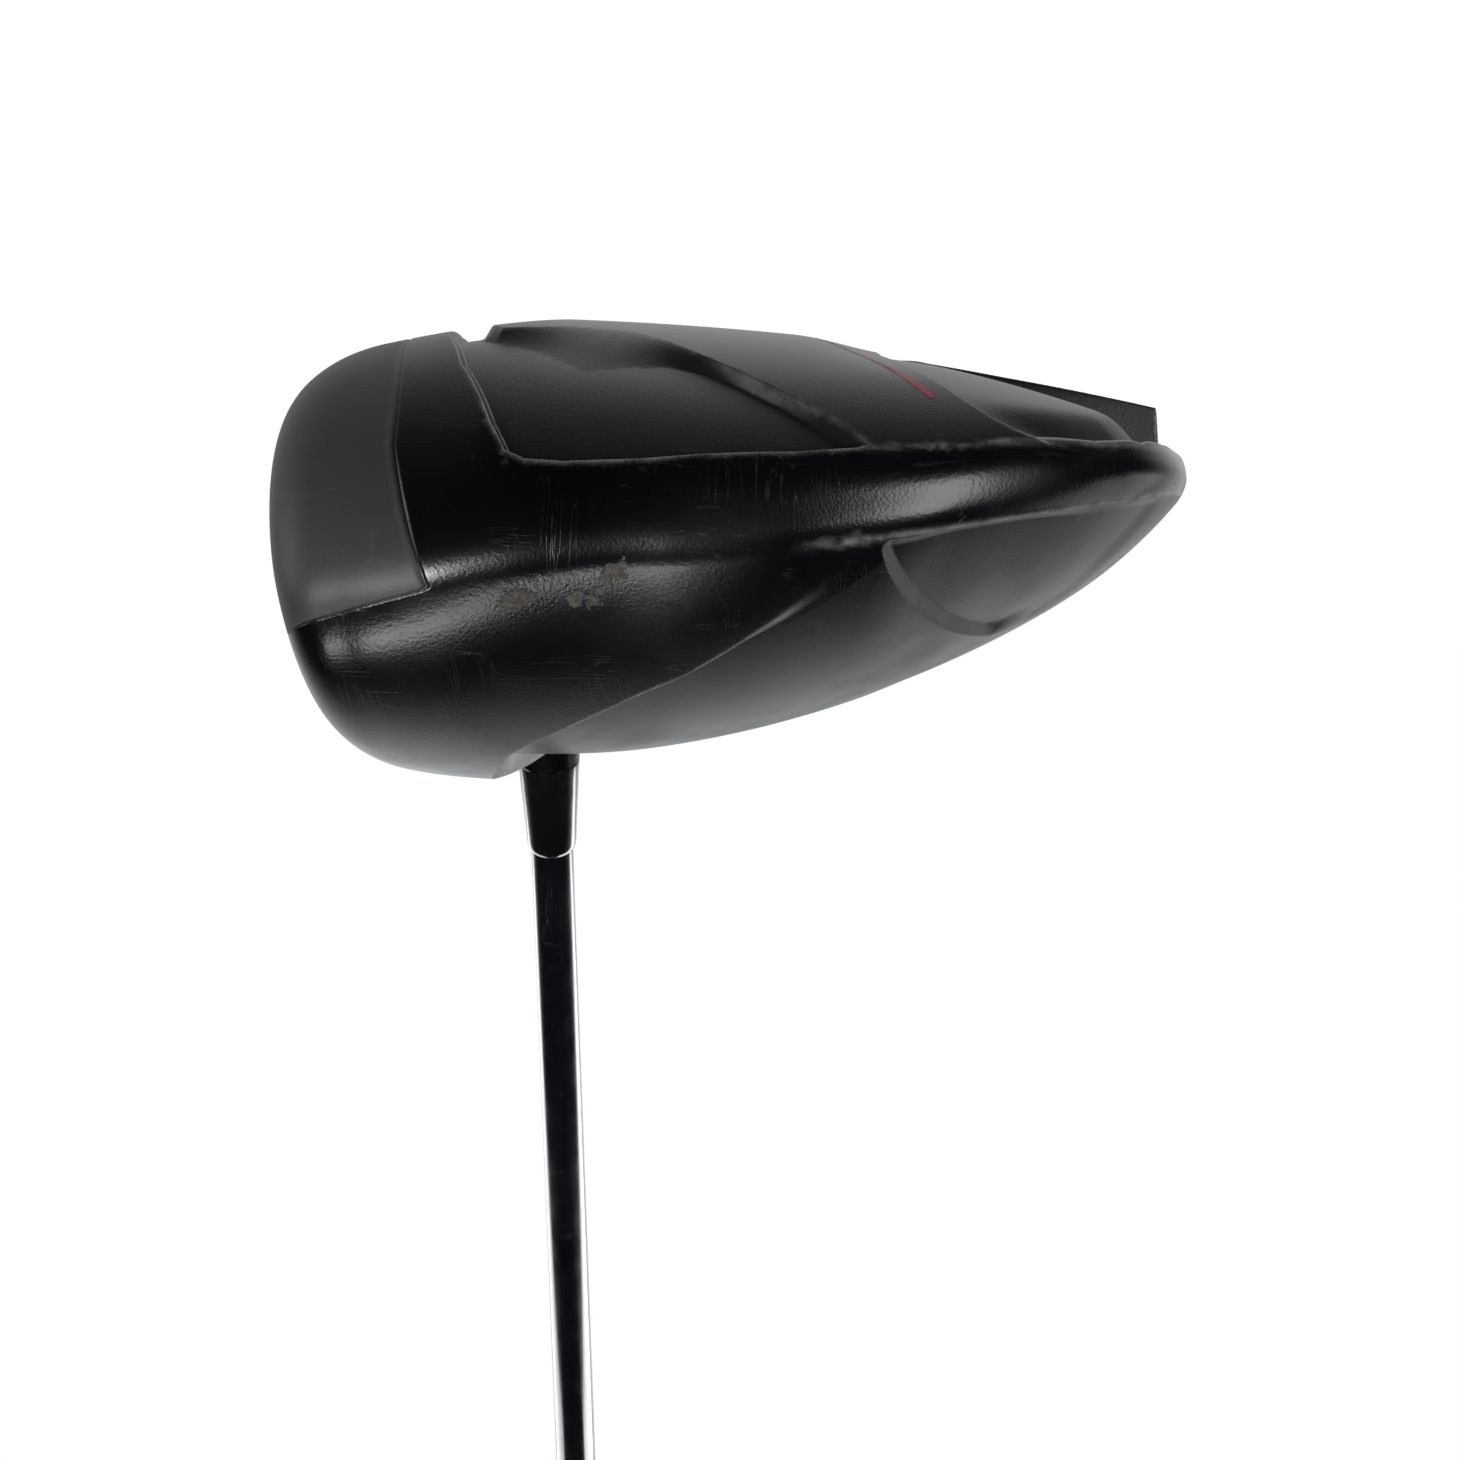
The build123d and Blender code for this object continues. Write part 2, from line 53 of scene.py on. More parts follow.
AXIS_DIR = np.array((math.cos(LIE), 0.0, math.sin(LIE)))
HOSEL_R, HOSEL_TOP = 6.0, 71.0
PANEL_DEEP, PANEL_SCOOP = 1.7, 2.0  # how far the sole panel is sunk, and the channel inside its rear rim
WING_FALL = 1.1  # how far the sole wing drops away behind its highest point
SEAM_DEEP, SEAM_WIDE = 0.22, 0.30  # groove along the weld of the face cup
NECK_CLEAR, NECK_NEAR = 18.0, 13.0  # details fade out between these distances from the shaft axis
SCOOP_DEEP = 1.35  # the two scoops beside the tail ridge of the crown


def ease(t):
    """Smooth step from 0 to 1."""
    t = np.clip(t, 0.0, 1.0)
    return t * t * (3.0 - 2.0 * t)


def soft_max(a, b, k):
    h = np.maximum(k - np.abs(a - b), 0.0) / k
    return np.maximum(a, b) + h * h * k * 0.25


def soft_min(a, b, k):
    return -soft_max(-a, -b, k)


def half_width(x, y):
    """Half the plan width at (x, y), on the toe or the heel side."""
    share = np.clip(np.abs(y - MID_Y) / np.where(y < MID_Y, FRONT_LEN, REAR_LEN), 0.0, 1.0)
    power = np.where(y < MID_Y, FRONT_POWER, REAR_POWER)
    half = np.where(x < MID_X, TOE_HALF, HEEL_HALF)
    return np.maximum(half * (1.0 - share**power + 1e-9) ** (1.0 / power), 0.5)


def waist(y):
    return 33.0 - 0.15 * (y - 20.0)


def rear_crown(y):
    share = np.clip((y - STEP_Y) / 92.0, 0.0, 1.0)
    return 23.0 + 36.0 * (1.0 - share**1.9) ** 0.87


def step_fade(y):
    """1 where the crown step is full, 0 where it has died out towards the skirt."""
    return 1.0 - ease((y - 46.0) / 20.0)


def high_crown(y):
    """Crown height on the centre line, before the step is cut."""
    share = np.clip((MID_Y - y) / FRONT_LEN, 0.0, 1.0)
    front = waist(y) + (CROWN_TOP - waist(y)) * (1.0 - share**5.3 + 1e-9) ** 0.77
    behind = rear_crown(np.maximum(y, STEP_Y)) + STEP_DROP * step_fade(y)
    return soft_min(front, behind, 2.0)


def tail_round(y):
    return np.clip((y - MID_Y) / REAR_LEN, 0.0, 1.2) ** 8


def across(x, y):
    """0 on the centre line, 1 at the outline, closing round the tail."""
    plain = np.abs(x - MID_X) / half_width(x, y)
    return (plain**2.2 + tail_round(y) ** 2.2) ** (1.0 / 2.2)


def keel(y):
    rear = (np.clip(y - 35.0, 0.0, None) / 29.0) ** 2
    front = 6.5 * (np.clip(32.0 - y, 0.0, None) / 32.0) ** 1.5
    return rear + front


def tail_flush(y):
    """1 where the sunk sole runs out flush at the tail."""
    return ease((y - 98.0) / 11.0)


def tail_raise(y):
    """How far the sole beside the tail rail lies above the rail."""
    return 4.4 * np.clip((y - 76.0) / 36.0, 0.0, 1.1) ** 1.4 + 3.2 * tail_flush(y)


def sole_height(x, y):
    return keel(y) + tail_raise(y) + 27.0 * (np.abs(x) / np.where(x < 0, 58.0, 54.0)) ** 2.4


def crown_rise(y):
    return np.maximum(high_crown(y) - waist(y), 0.3)


def crown_shape(y):
    """How sharply crown and skirt meet, and the two powers of the section above the waist."""
    turn = ease((y - 26.0) / 52.0)
    full = ease((46.0 - y) / 40.0)
    root = 1.3 + 0.2 * turn + 0.9 * full + 0.9 * ease((15.0 - y) / 13.0)
    return turn, 1.85 + 0.35 * turn + 0.55 * full, root


def crease_height(y):
    """Height of the line where the crown surface meets the skirt."""
    _, power, root = crown_shape(y)
    return waist(y) + crown_rise(y) * (1.0 - CREASE**power) ** (1.0 / root)


def body_field(p):
    """Negative inside the plain head, positive outside; smooth, with no sunk detail."""
    x, y, z = p[..., 0], p[..., 1], p[..., 2]
    level, rise = waist(y), crown_rise(y)
    a = across(x, y)
    turn, power, root = crown_shape(y)
    up = np.clip((z - level) / rise, 0.0, None)
    down = np.clip((level - z) / (60.0 - 40.0 * ease((y - 85.0) / 28.0)), 0.0, None)
    upper = (a**power + up**root + 1e-12) ** (1.0 / power)
    lower = (a**2.2 + down**2 + 1e-12) ** (1.0 / 2.2)
    skirt = (np.where(z > level, upper, lower) - 1.0) * 40.0
    edge = crease_height(y)
    roof = high_crown(y) - (high_crown(y) - edge) * (a / CREASE) ** 2 + 30.0 * (1.0 - turn)
    crowned = soft_max(skirt, (z - roof) * 0.8, 0.7 + 6.0 * (1.0 - turn))
    soled = soft_max(crowned, sole_height(x, y) - z, 12.0 - 6.0 * ease((y - 95.0) / 14.0))
    back = FACE_POINT - np.array((0.0, -math.cos(LOFT), math.sin(LOFT))) * FACE_R
    face = np.sqrt(((p - back) ** 2).sum(-1)) - FACE_R
    return soft_max(soled, face, 4.5 + 7.5 * ease((40.0 - z) / 36.0))


# ------------ plan curves of the detail
PANEL_TOE = ((0.0, 15.0), (27.9, 17.1), (42.6, 22.0), (52.6, 27.3), (55.7, 29.5), (56.5, 31.8),
             (56.6, 36.0), (56.1, 43.7), (54.0, 60.0), (50.3, 77.2), (46.4, 86.6), (42.1, 94.2),
             (36.9, 101.4), (30.0, 106.0), (16.0, 110.5), (0.0, 112.0))
PLATEAU = ((0.0, 20.5), (18.0, 21.6), (26.5, 22.6), (30.6, 24.6), (32.0, 29.3), (32.1, 35.0),
           (33.2, 40.2), (36.8, 45.1), (40.8, 49.7), (44.8, 55.2), (48.1, 60.5), (50.0, 64.4), (52.5, 68.4),
           (62.0, 78.0), (62.0, 92.0), (46.9, 88.5), (46.6, 83.7), (45.7, 81.1), (44.0, 78.5),
           (41.0, 75.8), (36.5, 72.6), (28.0, 70.2), (18.0, 70.5), (10.5, 73.0), (8.2, 79.0),
           (7.2, 90.0), (6.8, 120.0), (0.0, 120.0))
PLATEAU_FOOT = ((0.0, 18.9), (18.0, 19.8), (29.0, 21.9), (33.4, 25.4), (36.8, 29.2), (40.3, 33.0),
                (42.4, 35.7), (42.0, 37.6), (41.1, 41.8), (40.4, 45.0), (41.5, 48.6), (43.6, 53.0),
                (47.2, 58.4), (51.2, 64.0), (53.8, 67.8), (66.0, 80.0), (66.0, 120.0), (0.0, 120.0))
STRIPE = ((24.0, 62.4), (33.4, 67.5), (39.3, 70.9), (42.6, 72.9), (44.6, 74.6), (44.1, 75.3),
          (42.2, 73.9), (39.3, 71.7), (33.4, 68.0), (24.0, 62.7))


def half_polygon(x, y, corners, squeeze):
    """Signed distance, positive inside, to an outline given for x >= 0 and mirrored."""
    ax = np.abs(x) * np.where(x < 0, 1.0, squeeze)
    best = np.full(x.shape, 1e9)
    inside = np.zeros(x.shape, bool)
    for i in range(len(corners)):
        x0, y0 = corners[i]
        x1, y1 = corners[(i + 1) % len(corners)]
        if y0 != y1:
            crosses = ((y0 > y) != (y1 > y)) & (ax < (x1 - x0) * (y - y0) / (y1 - y0) + x0)
            inside = inside ^ crosses
        if x0 == 0.0 and x1 == 0.0:
            continue
        dx, dy = x1 - x0, y1 - y0
        t = np.clip(((ax - x0) * dx + (y - y0) * dy) / (dx * dx + dy * dy), 0.0, 1.0)
        best = np.minimum(best, np.hypot(ax - x0 - t * dx, y - y0 - t * dy))
    return np.where(inside, best, -best)


HEEL_SQUEEZE = 1.065  # the heel half of the sole detail is narrower


def panel_distance(x, y):
    return half_polygon(x, y, PANEL_TOE, HEEL_SQUEEZE)


def plateau_distance(x, y):
    return half_polygon(x, y, PLATEAU, HEEL_SQUEEZE)


def sole_lift(x, y):
    """How far the sole is sunk at (x, y)."""
    panel = panel_distance(x, y)
    plateau = plateau_distance(x, y)
    rear = ease((y - 72.0) / 5.0)
    lip = ease(panel / (1.1 + 2.4 * rear))
    outside = np.clip(-plateau, 0.0, None)
    to_foot = np.clip(half_polygon(x, y, PLATEAU_FOOT, HEEL_SQUEEZE), 0.0, None)
    ramp = outside / (outside + to_foot + 1e-6)
    ramp = 0.5 * ramp + 0.5 * ease(ramp)
    behind = ease((y - 60.0) / 6.0)
    front_wall = ramp * (1.0 - behind) + ease(outside / 1.4) * behind
    rail = (1.0 - front_wall) * ease((111.8 - y) / 0.9) * ease((y - 74.0) / 3.0)
    fall = WING_FALL * ease((y - 60.0) / 12.0) * ease((78.5 - y) / 8.0) * ease((42.0 - np.abs(x)) / 16.0)
    scoop = PANEL_SCOOP * rear * np.exp(-(((panel - 3.0) / 2.8) ** 2)) * ease((-plateau - 1.0) / 6.0)
    deep = PANEL_DEEP * (1.0 - 0.85 * tail_flush(y)) + scoop
    return lip * front_wall * deep + fall * (1.0 - front_wall) - tail_raise(y) * rail


def step_line(x):
    bow = STEP_Y + 0.006 * x * x
    run = 29.0 + 1.95 * (np.abs(x) - 33.8)
    return soft_max(bow, run, 5.0)


def step_distance(x, y):
    """Distance behind the crown step line, in plan."""
    slope = (step_line(x + 0.1) - step_line(x - 0.1)) / 0.2
    return (y - step_line(x)) / np.sqrt(1.0 + slope * slope)


SCOOP = ((55.0, 67.0), (47.6, 69.8), (37.7, 74.2), (28.0, 79.2), (22.3, 82.6), (15.0, 87.0), (10.0, 91.5),
         (9.0, 96.0), (14.0, 100.0), (22.0, 103.5), (30.0, 108.0), (64.0, 108.0), (64.0, 66.0))


def crown_change(x, y):
    """Vertical move of a crown point: the step, then the scoops beside the tail ridge."""
    a = across(x, y)
    rise = (1.0 - np.clip(a, 0.0, 1.0) ** 1.85) ** 0.77
    step = ease(step_distance(x, y) / 1.7)
    drop = -STEP_DROP * step_fade(y) * step * rise
    inside = half_polygon(x - MID_X, y, SCOOP, 1.0)
    far = ease((y - 86.0) / 6.0)
    floor = ease(inside / (0.9 + 4.0 * far)) * ease((CREASE - a) * half_width(x, y) / 2.4)
    return drop - SCOOP_DEEP * (1.0 - 0.6 * ease((y - 84.0) / 12.0)) * floor


def seam_distance(p):
    """Signed distance to the cup seam: positive on the cup."""
    x, y, z = p[..., 0], p[..., 1], p[..., 2]
    near = np.clip(z - 4.0, 0.0, 22.0)
    lower = 10.6 + 0.50 * near - 0.008 * near**2 + 0.36 * np.clip(z - 26.0, 0.0, 20.0)
    upper = np.maximum(22.4 - 3.4 * (z - 41.5), 5.0)
    line = soft_min(lower, upper, 1.2)
    line = line - (line - 8.0) * ease((x - 22.0) / 10.0) * (line > 8.0)
    return line - y


def bisect(field, origin, d, low, high, steps):
    """Brings low and high together round the distance where each ray leaves the solid."""
    for _ in range(steps):
        middle = (low + high) * 0.5
        inside = field(origin + d * middle[..., None]) < 0.0
        low = np.where(inside, middle, low)
        high = np.where(inside, high, middle)
    return low, high


def ray_hit(d, near=4.0, far=125.0, steps=30):
    """Where rays from the heart along unit directions d leave the plain head."""
    low, high = np.full(d.shape[:-1], near), np.full(d.shape[:-1], far)
    low, high = bisect(body_field, HEART, d, low, high, steps)
    return HEART + d * ((low + high) * 0.5)[..., None]


def from_axis(p):
    """Distance from the shaft axis, and length along it."""
    off = p - AXIS_FOOT
    along = off @ AXIS_DIR
    return np.linalg.norm(off - along[..., None] * AXIS_DIR, axis=-1), along


def detail(base, d):
    """Moves surface points of the plain head to the finished head."""
    x, y, z = base[..., 0], base[..., 1], base[..., 2]
    level = waist(y)
    on_crown = ease((z - level - 1.5) / 2.0)
    on_sole = ease(level - 1.0 - z)
    moved = base.copy()
    clear = ease((from_axis(base)[0] - NECK_NEAR) / (NECK_CLEAR - NECK_NEAR))
    moved[..., 2] += (crown_change(x, y) * on_crown + sole_lift(x, y) * on_sole) * clear
    groove = SEAM_DEEP * np.exp(-((seam_distance(base) / SEAM_WIDE) ** 2))
    return moved - d * groove[..., None]


def finished(d):
    return detail(ray_hit(d), d)


# ------------ fine mesh of the head
FINE, COARSE = 0.30, 1.25  # edge lengths at details and on plain skin
SHARP = math.radians(7.0)  # neighbouring triangles that differ more are split
PORT_MOUTH = np.array((0.0, 98.0, 4.72))
PORT_TILT = math.radians(8.8)
PORT_OUT = np.array((0.0, math.sin(PORT_TILT), -math.cos(PORT_TILT)))
HOLE_R = 5.75


def unit(v):
    return v / np.maximum(np.linalg.norm(v, axis=-1, keepdims=True), 1e-12)


def sphere_start(splits):
    """Even unit directions and their triangles."""
    g = (1.0 + math.sqrt(5.0)) / 2.0
    dirs = unit(np.array(((-1, g, 0), (1, g, 0), (-1, -g, 0), (1, -g, 0), (0, -1, g), (0, 1, g),
                          (0, -1, -g), (0, 1, -g), (g, 0, -1), (g, 0, 1), (-g, 0, -1), (-g, 0, 1)), float))
    tris = np.array(((0, 11, 5), (0, 5, 1), (0, 1, 7), (0, 7, 10), (0, 10, 11), (1, 5, 9), (5, 11, 4),
                     (11, 10, 2), (10, 7, 6), (7, 1, 8), (3, 9, 4), (3, 4, 2), (3, 2, 6), (3, 6, 8),
                     (3, 8, 9), (4, 9, 5), (2, 4, 11), (6, 2, 10), (8, 6, 7), (9, 8, 1)))
    for _ in range(splits):
        pairs, of_tri = edges_of(tris, len(dirs))
        middle = len(dirs) + np.arange(len(pairs))
        dirs = np.vstack((dirs, unit(dirs[pairs[:, 0]] + dirs[pairs[:, 1]])))
        a, b, c = tris.T
        ab, bc, ca = middle[of_tri].T
        tris = np.vstack((np.stack((a, ab, ca), 1), np.stack((ab, b, bc), 1),
                          np.stack((ca, bc, c), 1), np.stack((ab, bc, ca), 1)))
    return dirs, tris


def edges_of(tris, count):
    """Unique edges as vertex pairs, and the edge number of each triangle side (ab, bc, ca)."""
    sides = np.stack((tris, np.roll(tris, -1, axis=1)), 2).reshape(-1, 2)
    low, high = sides.min(1).astype(np.int64), sides.max(1).astype(np.int64)
    keys, index = np.unique(low * count + high, return_inverse=True)
    return np.stack((keys // count, keys % count), 1), index.reshape(-1, 3)


def face_normals(points, tris):
    a, b, c = points[tris[:, 0]], points[tris[:, 1]], points[tris[:, 2]]
    return unit(np.cross(b - a, c - a))


def port_distance(base):
    """Distance from the port axis beyond the hole, for sole points; large elsewhere."""
    off = base - PORT_MOUTH
    off[..., 2] -= tail_raise(base[..., 1])
    along = off @ PORT_OUT
    radial = np.linalg.norm(off - along[..., None] * PORT_OUT, axis=-1) - HOLE_R
    return np.where(np.abs(along) < 6.0, radial, 30.0)


def stripe_distance(base):
    """Signed distance to the enamel stripes, positive inside them."""
    inside = half_polygon(base[..., 0], base[..., 1], STRIPE, HEEL_SQUEEZE)
    return np.where(base[..., 2] < waist(base[..., 1]) - 4.0, inside, -30.0)


def panel_edge(base):
    """Signed distance into the crown panel: behind the step and inside the crease."""
    x, y, z = base[..., 0], base[..., 1], base[..., 2]
    inner = (CREASE - 0.006 - across(x, y)) * half_width(x, y)
    edge = np.minimum(step_distance(x, y) - 2.5, inner)
    return np.where(z > waist(y), edge, -30.0)


def line_nearness(base):
    """Distance in millimetres to the nearest line that has to stay crisp."""
    near = np.abs(seam_distance(base))
    near = np.minimum(near, np.abs(stripe_distance(base)))
    near = np.minimum(near, np.abs(panel_edge(base)))
    return np.minimum(near, np.abs(port_distance(base)))


def split_edges(dirs, tris, marked, of_tri, pairs, lengths):
    """Longest side bisection of every triangle that has a marked side."""
    longest = of_tri[np.arange(len(tris)), lengths[of_tri].argmax(1)]
    while True:
        need = marked[of_tri].any(1) & ~marked[longest]
        if not need.any():
            break
        marked[longest[need]] = True
    middle = np.full(len(pairs), -1)
    middle[marked] = len(dirs) + np.arange(marked.sum())
    chosen = pairs[marked]
    fresh = unit(dirs[chosen[:, 0]] + dirs[chosen[:, 1]])
    turn = lengths[of_tri].argmax(1)
    rows = np.arange(len(tris))[:, None]
    order = (turn[:, None] + np.arange(3)) % 3
    a, b, c = tris[rows, order].T
    m_ab, m_bc, m_ca = middle[of_tri[rows, order]].T
    keep = m_ab < 0
    out = [tris[keep]]
    cut = ~keep
    left, right = m_ca >= 0, m_bc >= 0
    for chosen_rows, corners in ((cut & ~left, (a, m_ab, c)), (cut & ~right, (m_ab, b, c)),
                                 (cut & left, (a, m_ab, m_ca)), (cut & left, (m_ab, c, m_ca)),
                                 (cut & right, (m_ab, b, m_bc)), (cut & right, (m_ab, m_bc, c))):
        out.append(np.stack([corner[chosen_rows] for corner in corners], 1))
    return fresh, np.vstack(out)


def refined_head():
    """Directions, plain base points and triangles, fine where the finished head bends or has a line."""
    dirs, tris = sphere_start(4)
    base = ray_hit(dirs)
    for _ in range(REFINE_PASSES):
        points = detail(base, dirs)
        pairs, of_tri = edges_of(tris, len(dirs))
        lengths = np.linalg.norm(points[pairs[:, 0]] - points[pairs[:, 1]], axis=1)
        normals = face_normals(points, tris)
        total = np.zeros((len(pairs), 3))
        for side in range(3):
            np.add.at(total, of_tri[:, side], normals)
        spread = np.arccos(np.clip(np.linalg.norm(total, axis=1) / 2.0, -1.0, 1.0)) * 2.0
        near = line_nearness(base)
        close = np.minimum(near[pairs[:, 0]], near[pairs[:, 1]]) < np.maximum(0.9, lengths * 0.6)
        marked = lengths > COARSE
        marked |= (spread > SHARP) & (lengths > FINE)
        marked |= close & (lengths > FINE * 1.3)
        if not marked.any():
            break
        fresh, tris = split_edges(dirs, tris, marked, of_tri, pairs, lengths)
        dirs = np.vstack((dirs, fresh))
        base = np.vstack((base, ray_hit(fresh)))
    return dirs, base, tris


def clip(dirs, base, tris, field):
    """Splits triangles along field = 0. Returns the new mesh and a mask of triangles with field > 0."""
    value = field(base)
    value = np.where(np.abs(value) < 1e-7, 1e-7, value)
    pairs, of_tri = edges_of(tris, len(dirs))
    va, vb = value[pairs[:, 0]], value[pairs[:, 1]]
    crossing = (va > 0) != (vb > 0)
    share = np.clip((va / np.where(crossing, va - vb, 1.0))[crossing], 0.02, 0.98)[:, None]
    chosen = pairs[crossing]
    fresh = unit(dirs[chosen[:, 0]] * (1.0 - share) + dirs[chosen[:, 1]] * share)
    middle = np.full(len(pairs), -1)
    middle[crossing] = len(dirs) + np.arange(len(fresh))
    positive = value[tris] > 0
    count = positive.sum(1)
    whole = (count == 0) | (count == 3)
    lone = np.where(count == 1, positive.argmax(1), (~positive).argmax(1))
    rows = np.arange(len(tris))[:, None]
    order = (lone[:, None] + np.arange(3)) % 3
    a, b, c = tris[rows, order].T
    m_ab, _, m_ca = middle[of_tri[rows, order]].T
    cut = ~whole
    lone_positive = count == 1
    made = [tris[whole], np.stack((a, m_ab, m_ca), 1)[cut], np.stack((m_ab, b, c), 1)[cut],
            np.stack((m_ab, c, m_ca), 1)[cut]]
    signs = [count[whole] == 3, lone_positive[cut], ~lone_positive[cut], ~lone_positive[cut]]
    return (np.vstack((dirs, fresh)), np.vstack((base, ray_hit(fresh))),
            np.vstack(made), np.concatenate(signs))


def surface_normals(dirs, base):
    """Normals of the finished head from two close neighbours of each direction."""
    helper = np.where(np.abs(dirs[:, 2:3]) < 0.8, (0.0, 0.0, 1.0), (1.0, 0.0, 0.0))
    first = unit(np.cross(dirs, helper))
    second = np.cross(dirs, first)
    reach = np.linalg.norm(base - HEART, axis=1)
    step = 0.05 / reach[:, None]
    sides = []
    for tangent in (first, second):
        ends = []
        for sign in (-1.0, 1.0):
            nearby = unit(dirs + tangent * step * sign)
            hit = ray_hit(nearby, reach - 1.5, reach + 1.5, 16)
            ends.append(detail(hit, nearby))
        sides.append(ends[1] - ends[0])
    return unit(np.cross(sides[0], sides[1]))


# ------------ Blender meshes
def make_object(name, points_mm, faces, corner_normals=None, values=None):
    """Mesh object from millimetre points, with optional face corner normals and named vertex values."""
    data = bpy.data.meshes.new(name)
    rows = faces.tolist() if isinstance(faces, np.ndarray) else faces
    data.from_pydata((points_mm * MM).tolist(), [], rows)
    data.update()
    data.shade_smooth()
    if corner_normals is not None:
        data.normals_split_custom_set(corner_normals.tolist())
    for key, numbers in (values or {}).items():
        layer = data.attributes.new(key, "FLOAT", "POINT")
        layer.data.foreach_set("value", np.asarray(numbers, np.float32))
    made = bpy.data.objects.new(name, data)
    bpy.context.scene.collection.objects.link(made)
    return made


def shell(points, outward, normals, tris, thickness):
    """Closed shell: outer skin, the same skin moved against outward, and a rim between them."""
    used, index = np.unique(tris, return_inverse=True)
    tris = index.reshape(-1, 3)
    n = len(used)
    all_points = np.vstack((points[used], points[used] - outward[used] * thickness))
    sides = np.stack((tris, np.roll(tris, -1, axis=1)), 2).reshape(-1, 2)
    keys = sides[:, 0].astype(np.int64) * n + sides[:, 1]
    back = sides[:, 1].astype(np.int64) * n + sides[:, 0]
    a, b = sides[~np.isin(keys, back)].T
    rim = np.vstack((np.stack((b, a, a + n), 1), np.stack((b, a + n, b + n), 1)))
    faces = np.vstack((tris, tris[:, ::-1] + n, rim))
    flat = np.repeat(face_normals(all_points, rim)[:, None], 3, axis=1)
    corner_normals = np.vstack((normals[used][tris], -normals[used][tris[:, ::-1]], flat))
    return used, all_points, faces, corner_normals.reshape(-1, 3)


def axis_point(length):
    return AXIS_FOOT + AXIS_DIR * length


def circle(count):
    return np.linspace(0.0, 2.0 * math.pi, count, endpoint=False)


def spokes_round(direction, count):
    """Evenly turned unit vectors square to a direction."""
    one = unit(np.cross(direction, (1.0, 0.0, 0.0)))
    return np.cos(circle(count))[:, None] * one + np.sin(circle(count))[:, None] * np.cross(direction, one)


def ring_faces(rings, count):
    """Quads between neighbouring rings of a closed surface."""
    low = np.arange(rings - 1)[:, None] * count
    here = np.arange(count)
    following = (here + 1) % count
    quads = (low + here, low + following, low + count + following, low + count + here)
    return np.stack(quads, 2).reshape(-1, 4).tolist()


def loop_faces(rings, count):
    """Quads of a ring surface whose last ring joins its first."""
    last = (rings - 1) * count
    closing = [(last + j, last + (j + 1) % count, (j + 1) % count, j) for j in range(count)]
    return ring_faces(rings, count) + closing


def turned(name, profile, count=128, origin=AXIS_FOOT, direction=AXIS_DIR, carve=None):
    """Closed solid of revolution from the (radius, length) points round its section.

    carve(radii, length, angles) may cut a pattern."""
    spokes = spokes_round(direction, count)
    rings = []
    for radius, length in profile:
        radii = np.full(count, float(radius))
        if carve is not None:
            radii = carve(radii, length, circle(count))
        rings.append(origin + direction * length + spokes * radii[:, None])
    made = make_object(name, np.vstack(rings), loop_faces(len(profile), count))
    made.data.set_sharp_from_angle(angle=math.radians(32.0))
    return made


def with_rounding(corners, radius, steps=4):
    """Section points with each listed corner rounded by a short arc."""
    out = []
    points = np.array(corners)
    for p, before, after in zip(points, np.roll(points, 1, axis=0), np.roll(points, -1, axis=0)):
        r = min(radius, 0.4 * np.linalg.norm(before - p), 0.4 * np.linalg.norm(after - p))
        start, end = p + unit(before - p) * r, p + unit(after - p) * r
        for t in np.linspace(0.0, 1.0, steps + 1):
            out.append(tuple((1.0 - t) ** 2 * start + 2.0 * t * (1.0 - t) * p + t * t * end))
    return out


# ------------ hosel neck
NECK_TURNS = 240
NECK_FOOT = 34.0  # length on the shaft axis from which the neck's rays fan out
NECK_REACH = 16.5  # distance from the axis where the neck stops, under the skin
NECK_BLEND = 10.0
NECK_END = 27.0  # the tube rounds off at this length, inside the heel
FAN_LOW, FAN_HIGH = -74.0, 49.5  # tilts of the rays, in degrees from square to the axis
TUBE_LOW, TUBE_HIGH = 7.2, 22.4  # heights above the foot where the fan meets the plain tube
BORE_R, BORE_BOTTOM = 4.35, 36.0


def tube_field(p):
    """Negative inside the hosel tube, which rounds off near the heel's underside."""
    radius, along = from_axis(p)
    return soft_max(radius - HOSEL_R, NECK_END - along, 6.0)


def neck_field(p):
    """The head joined to the hosel tube with a soft fillet."""
    return soft_min(body_field(p), tube_field(p), NECK_BLEND)


def neck_sink(p):
    """How far the fringe of the neck dives under the head's own surface, where its fillet runs out."""
    tube = tube_field(p)
    fillet = np.minimum(body_field(p), tube) - neck_field(p)
    return np.where(tube > 1.0, 4.0 * (1.0 - ease(fillet / 0.35)), 0.0)


def neck_hit(origin, d, reach):
    """First point where each ray leaves the neck, or the point at full reach."""
    stops = np.linspace(0.5, reach, 40)
    inside = np.array([neck_field(origin + d * stop) < 0.0 for stop in stops])
    held = np.logical_and.accumulate(inside, axis=0).sum(0)
    low, high = stops[np.maximum(held - 1, 0)], stops[np.minimum(held, len(stops) - 1)]
    return origin + d * bisect(neck_field, origin, d, low, high, 20)[0][:, None]


def gradient(field, p, step=0.02):
    out = np.zeros_like(p)
    for i in range(3):
        shift = np.zeros(3)
        shift[i] = step
        out[:, i] = field(p + shift) - field(p - shift)
    return unit(out)


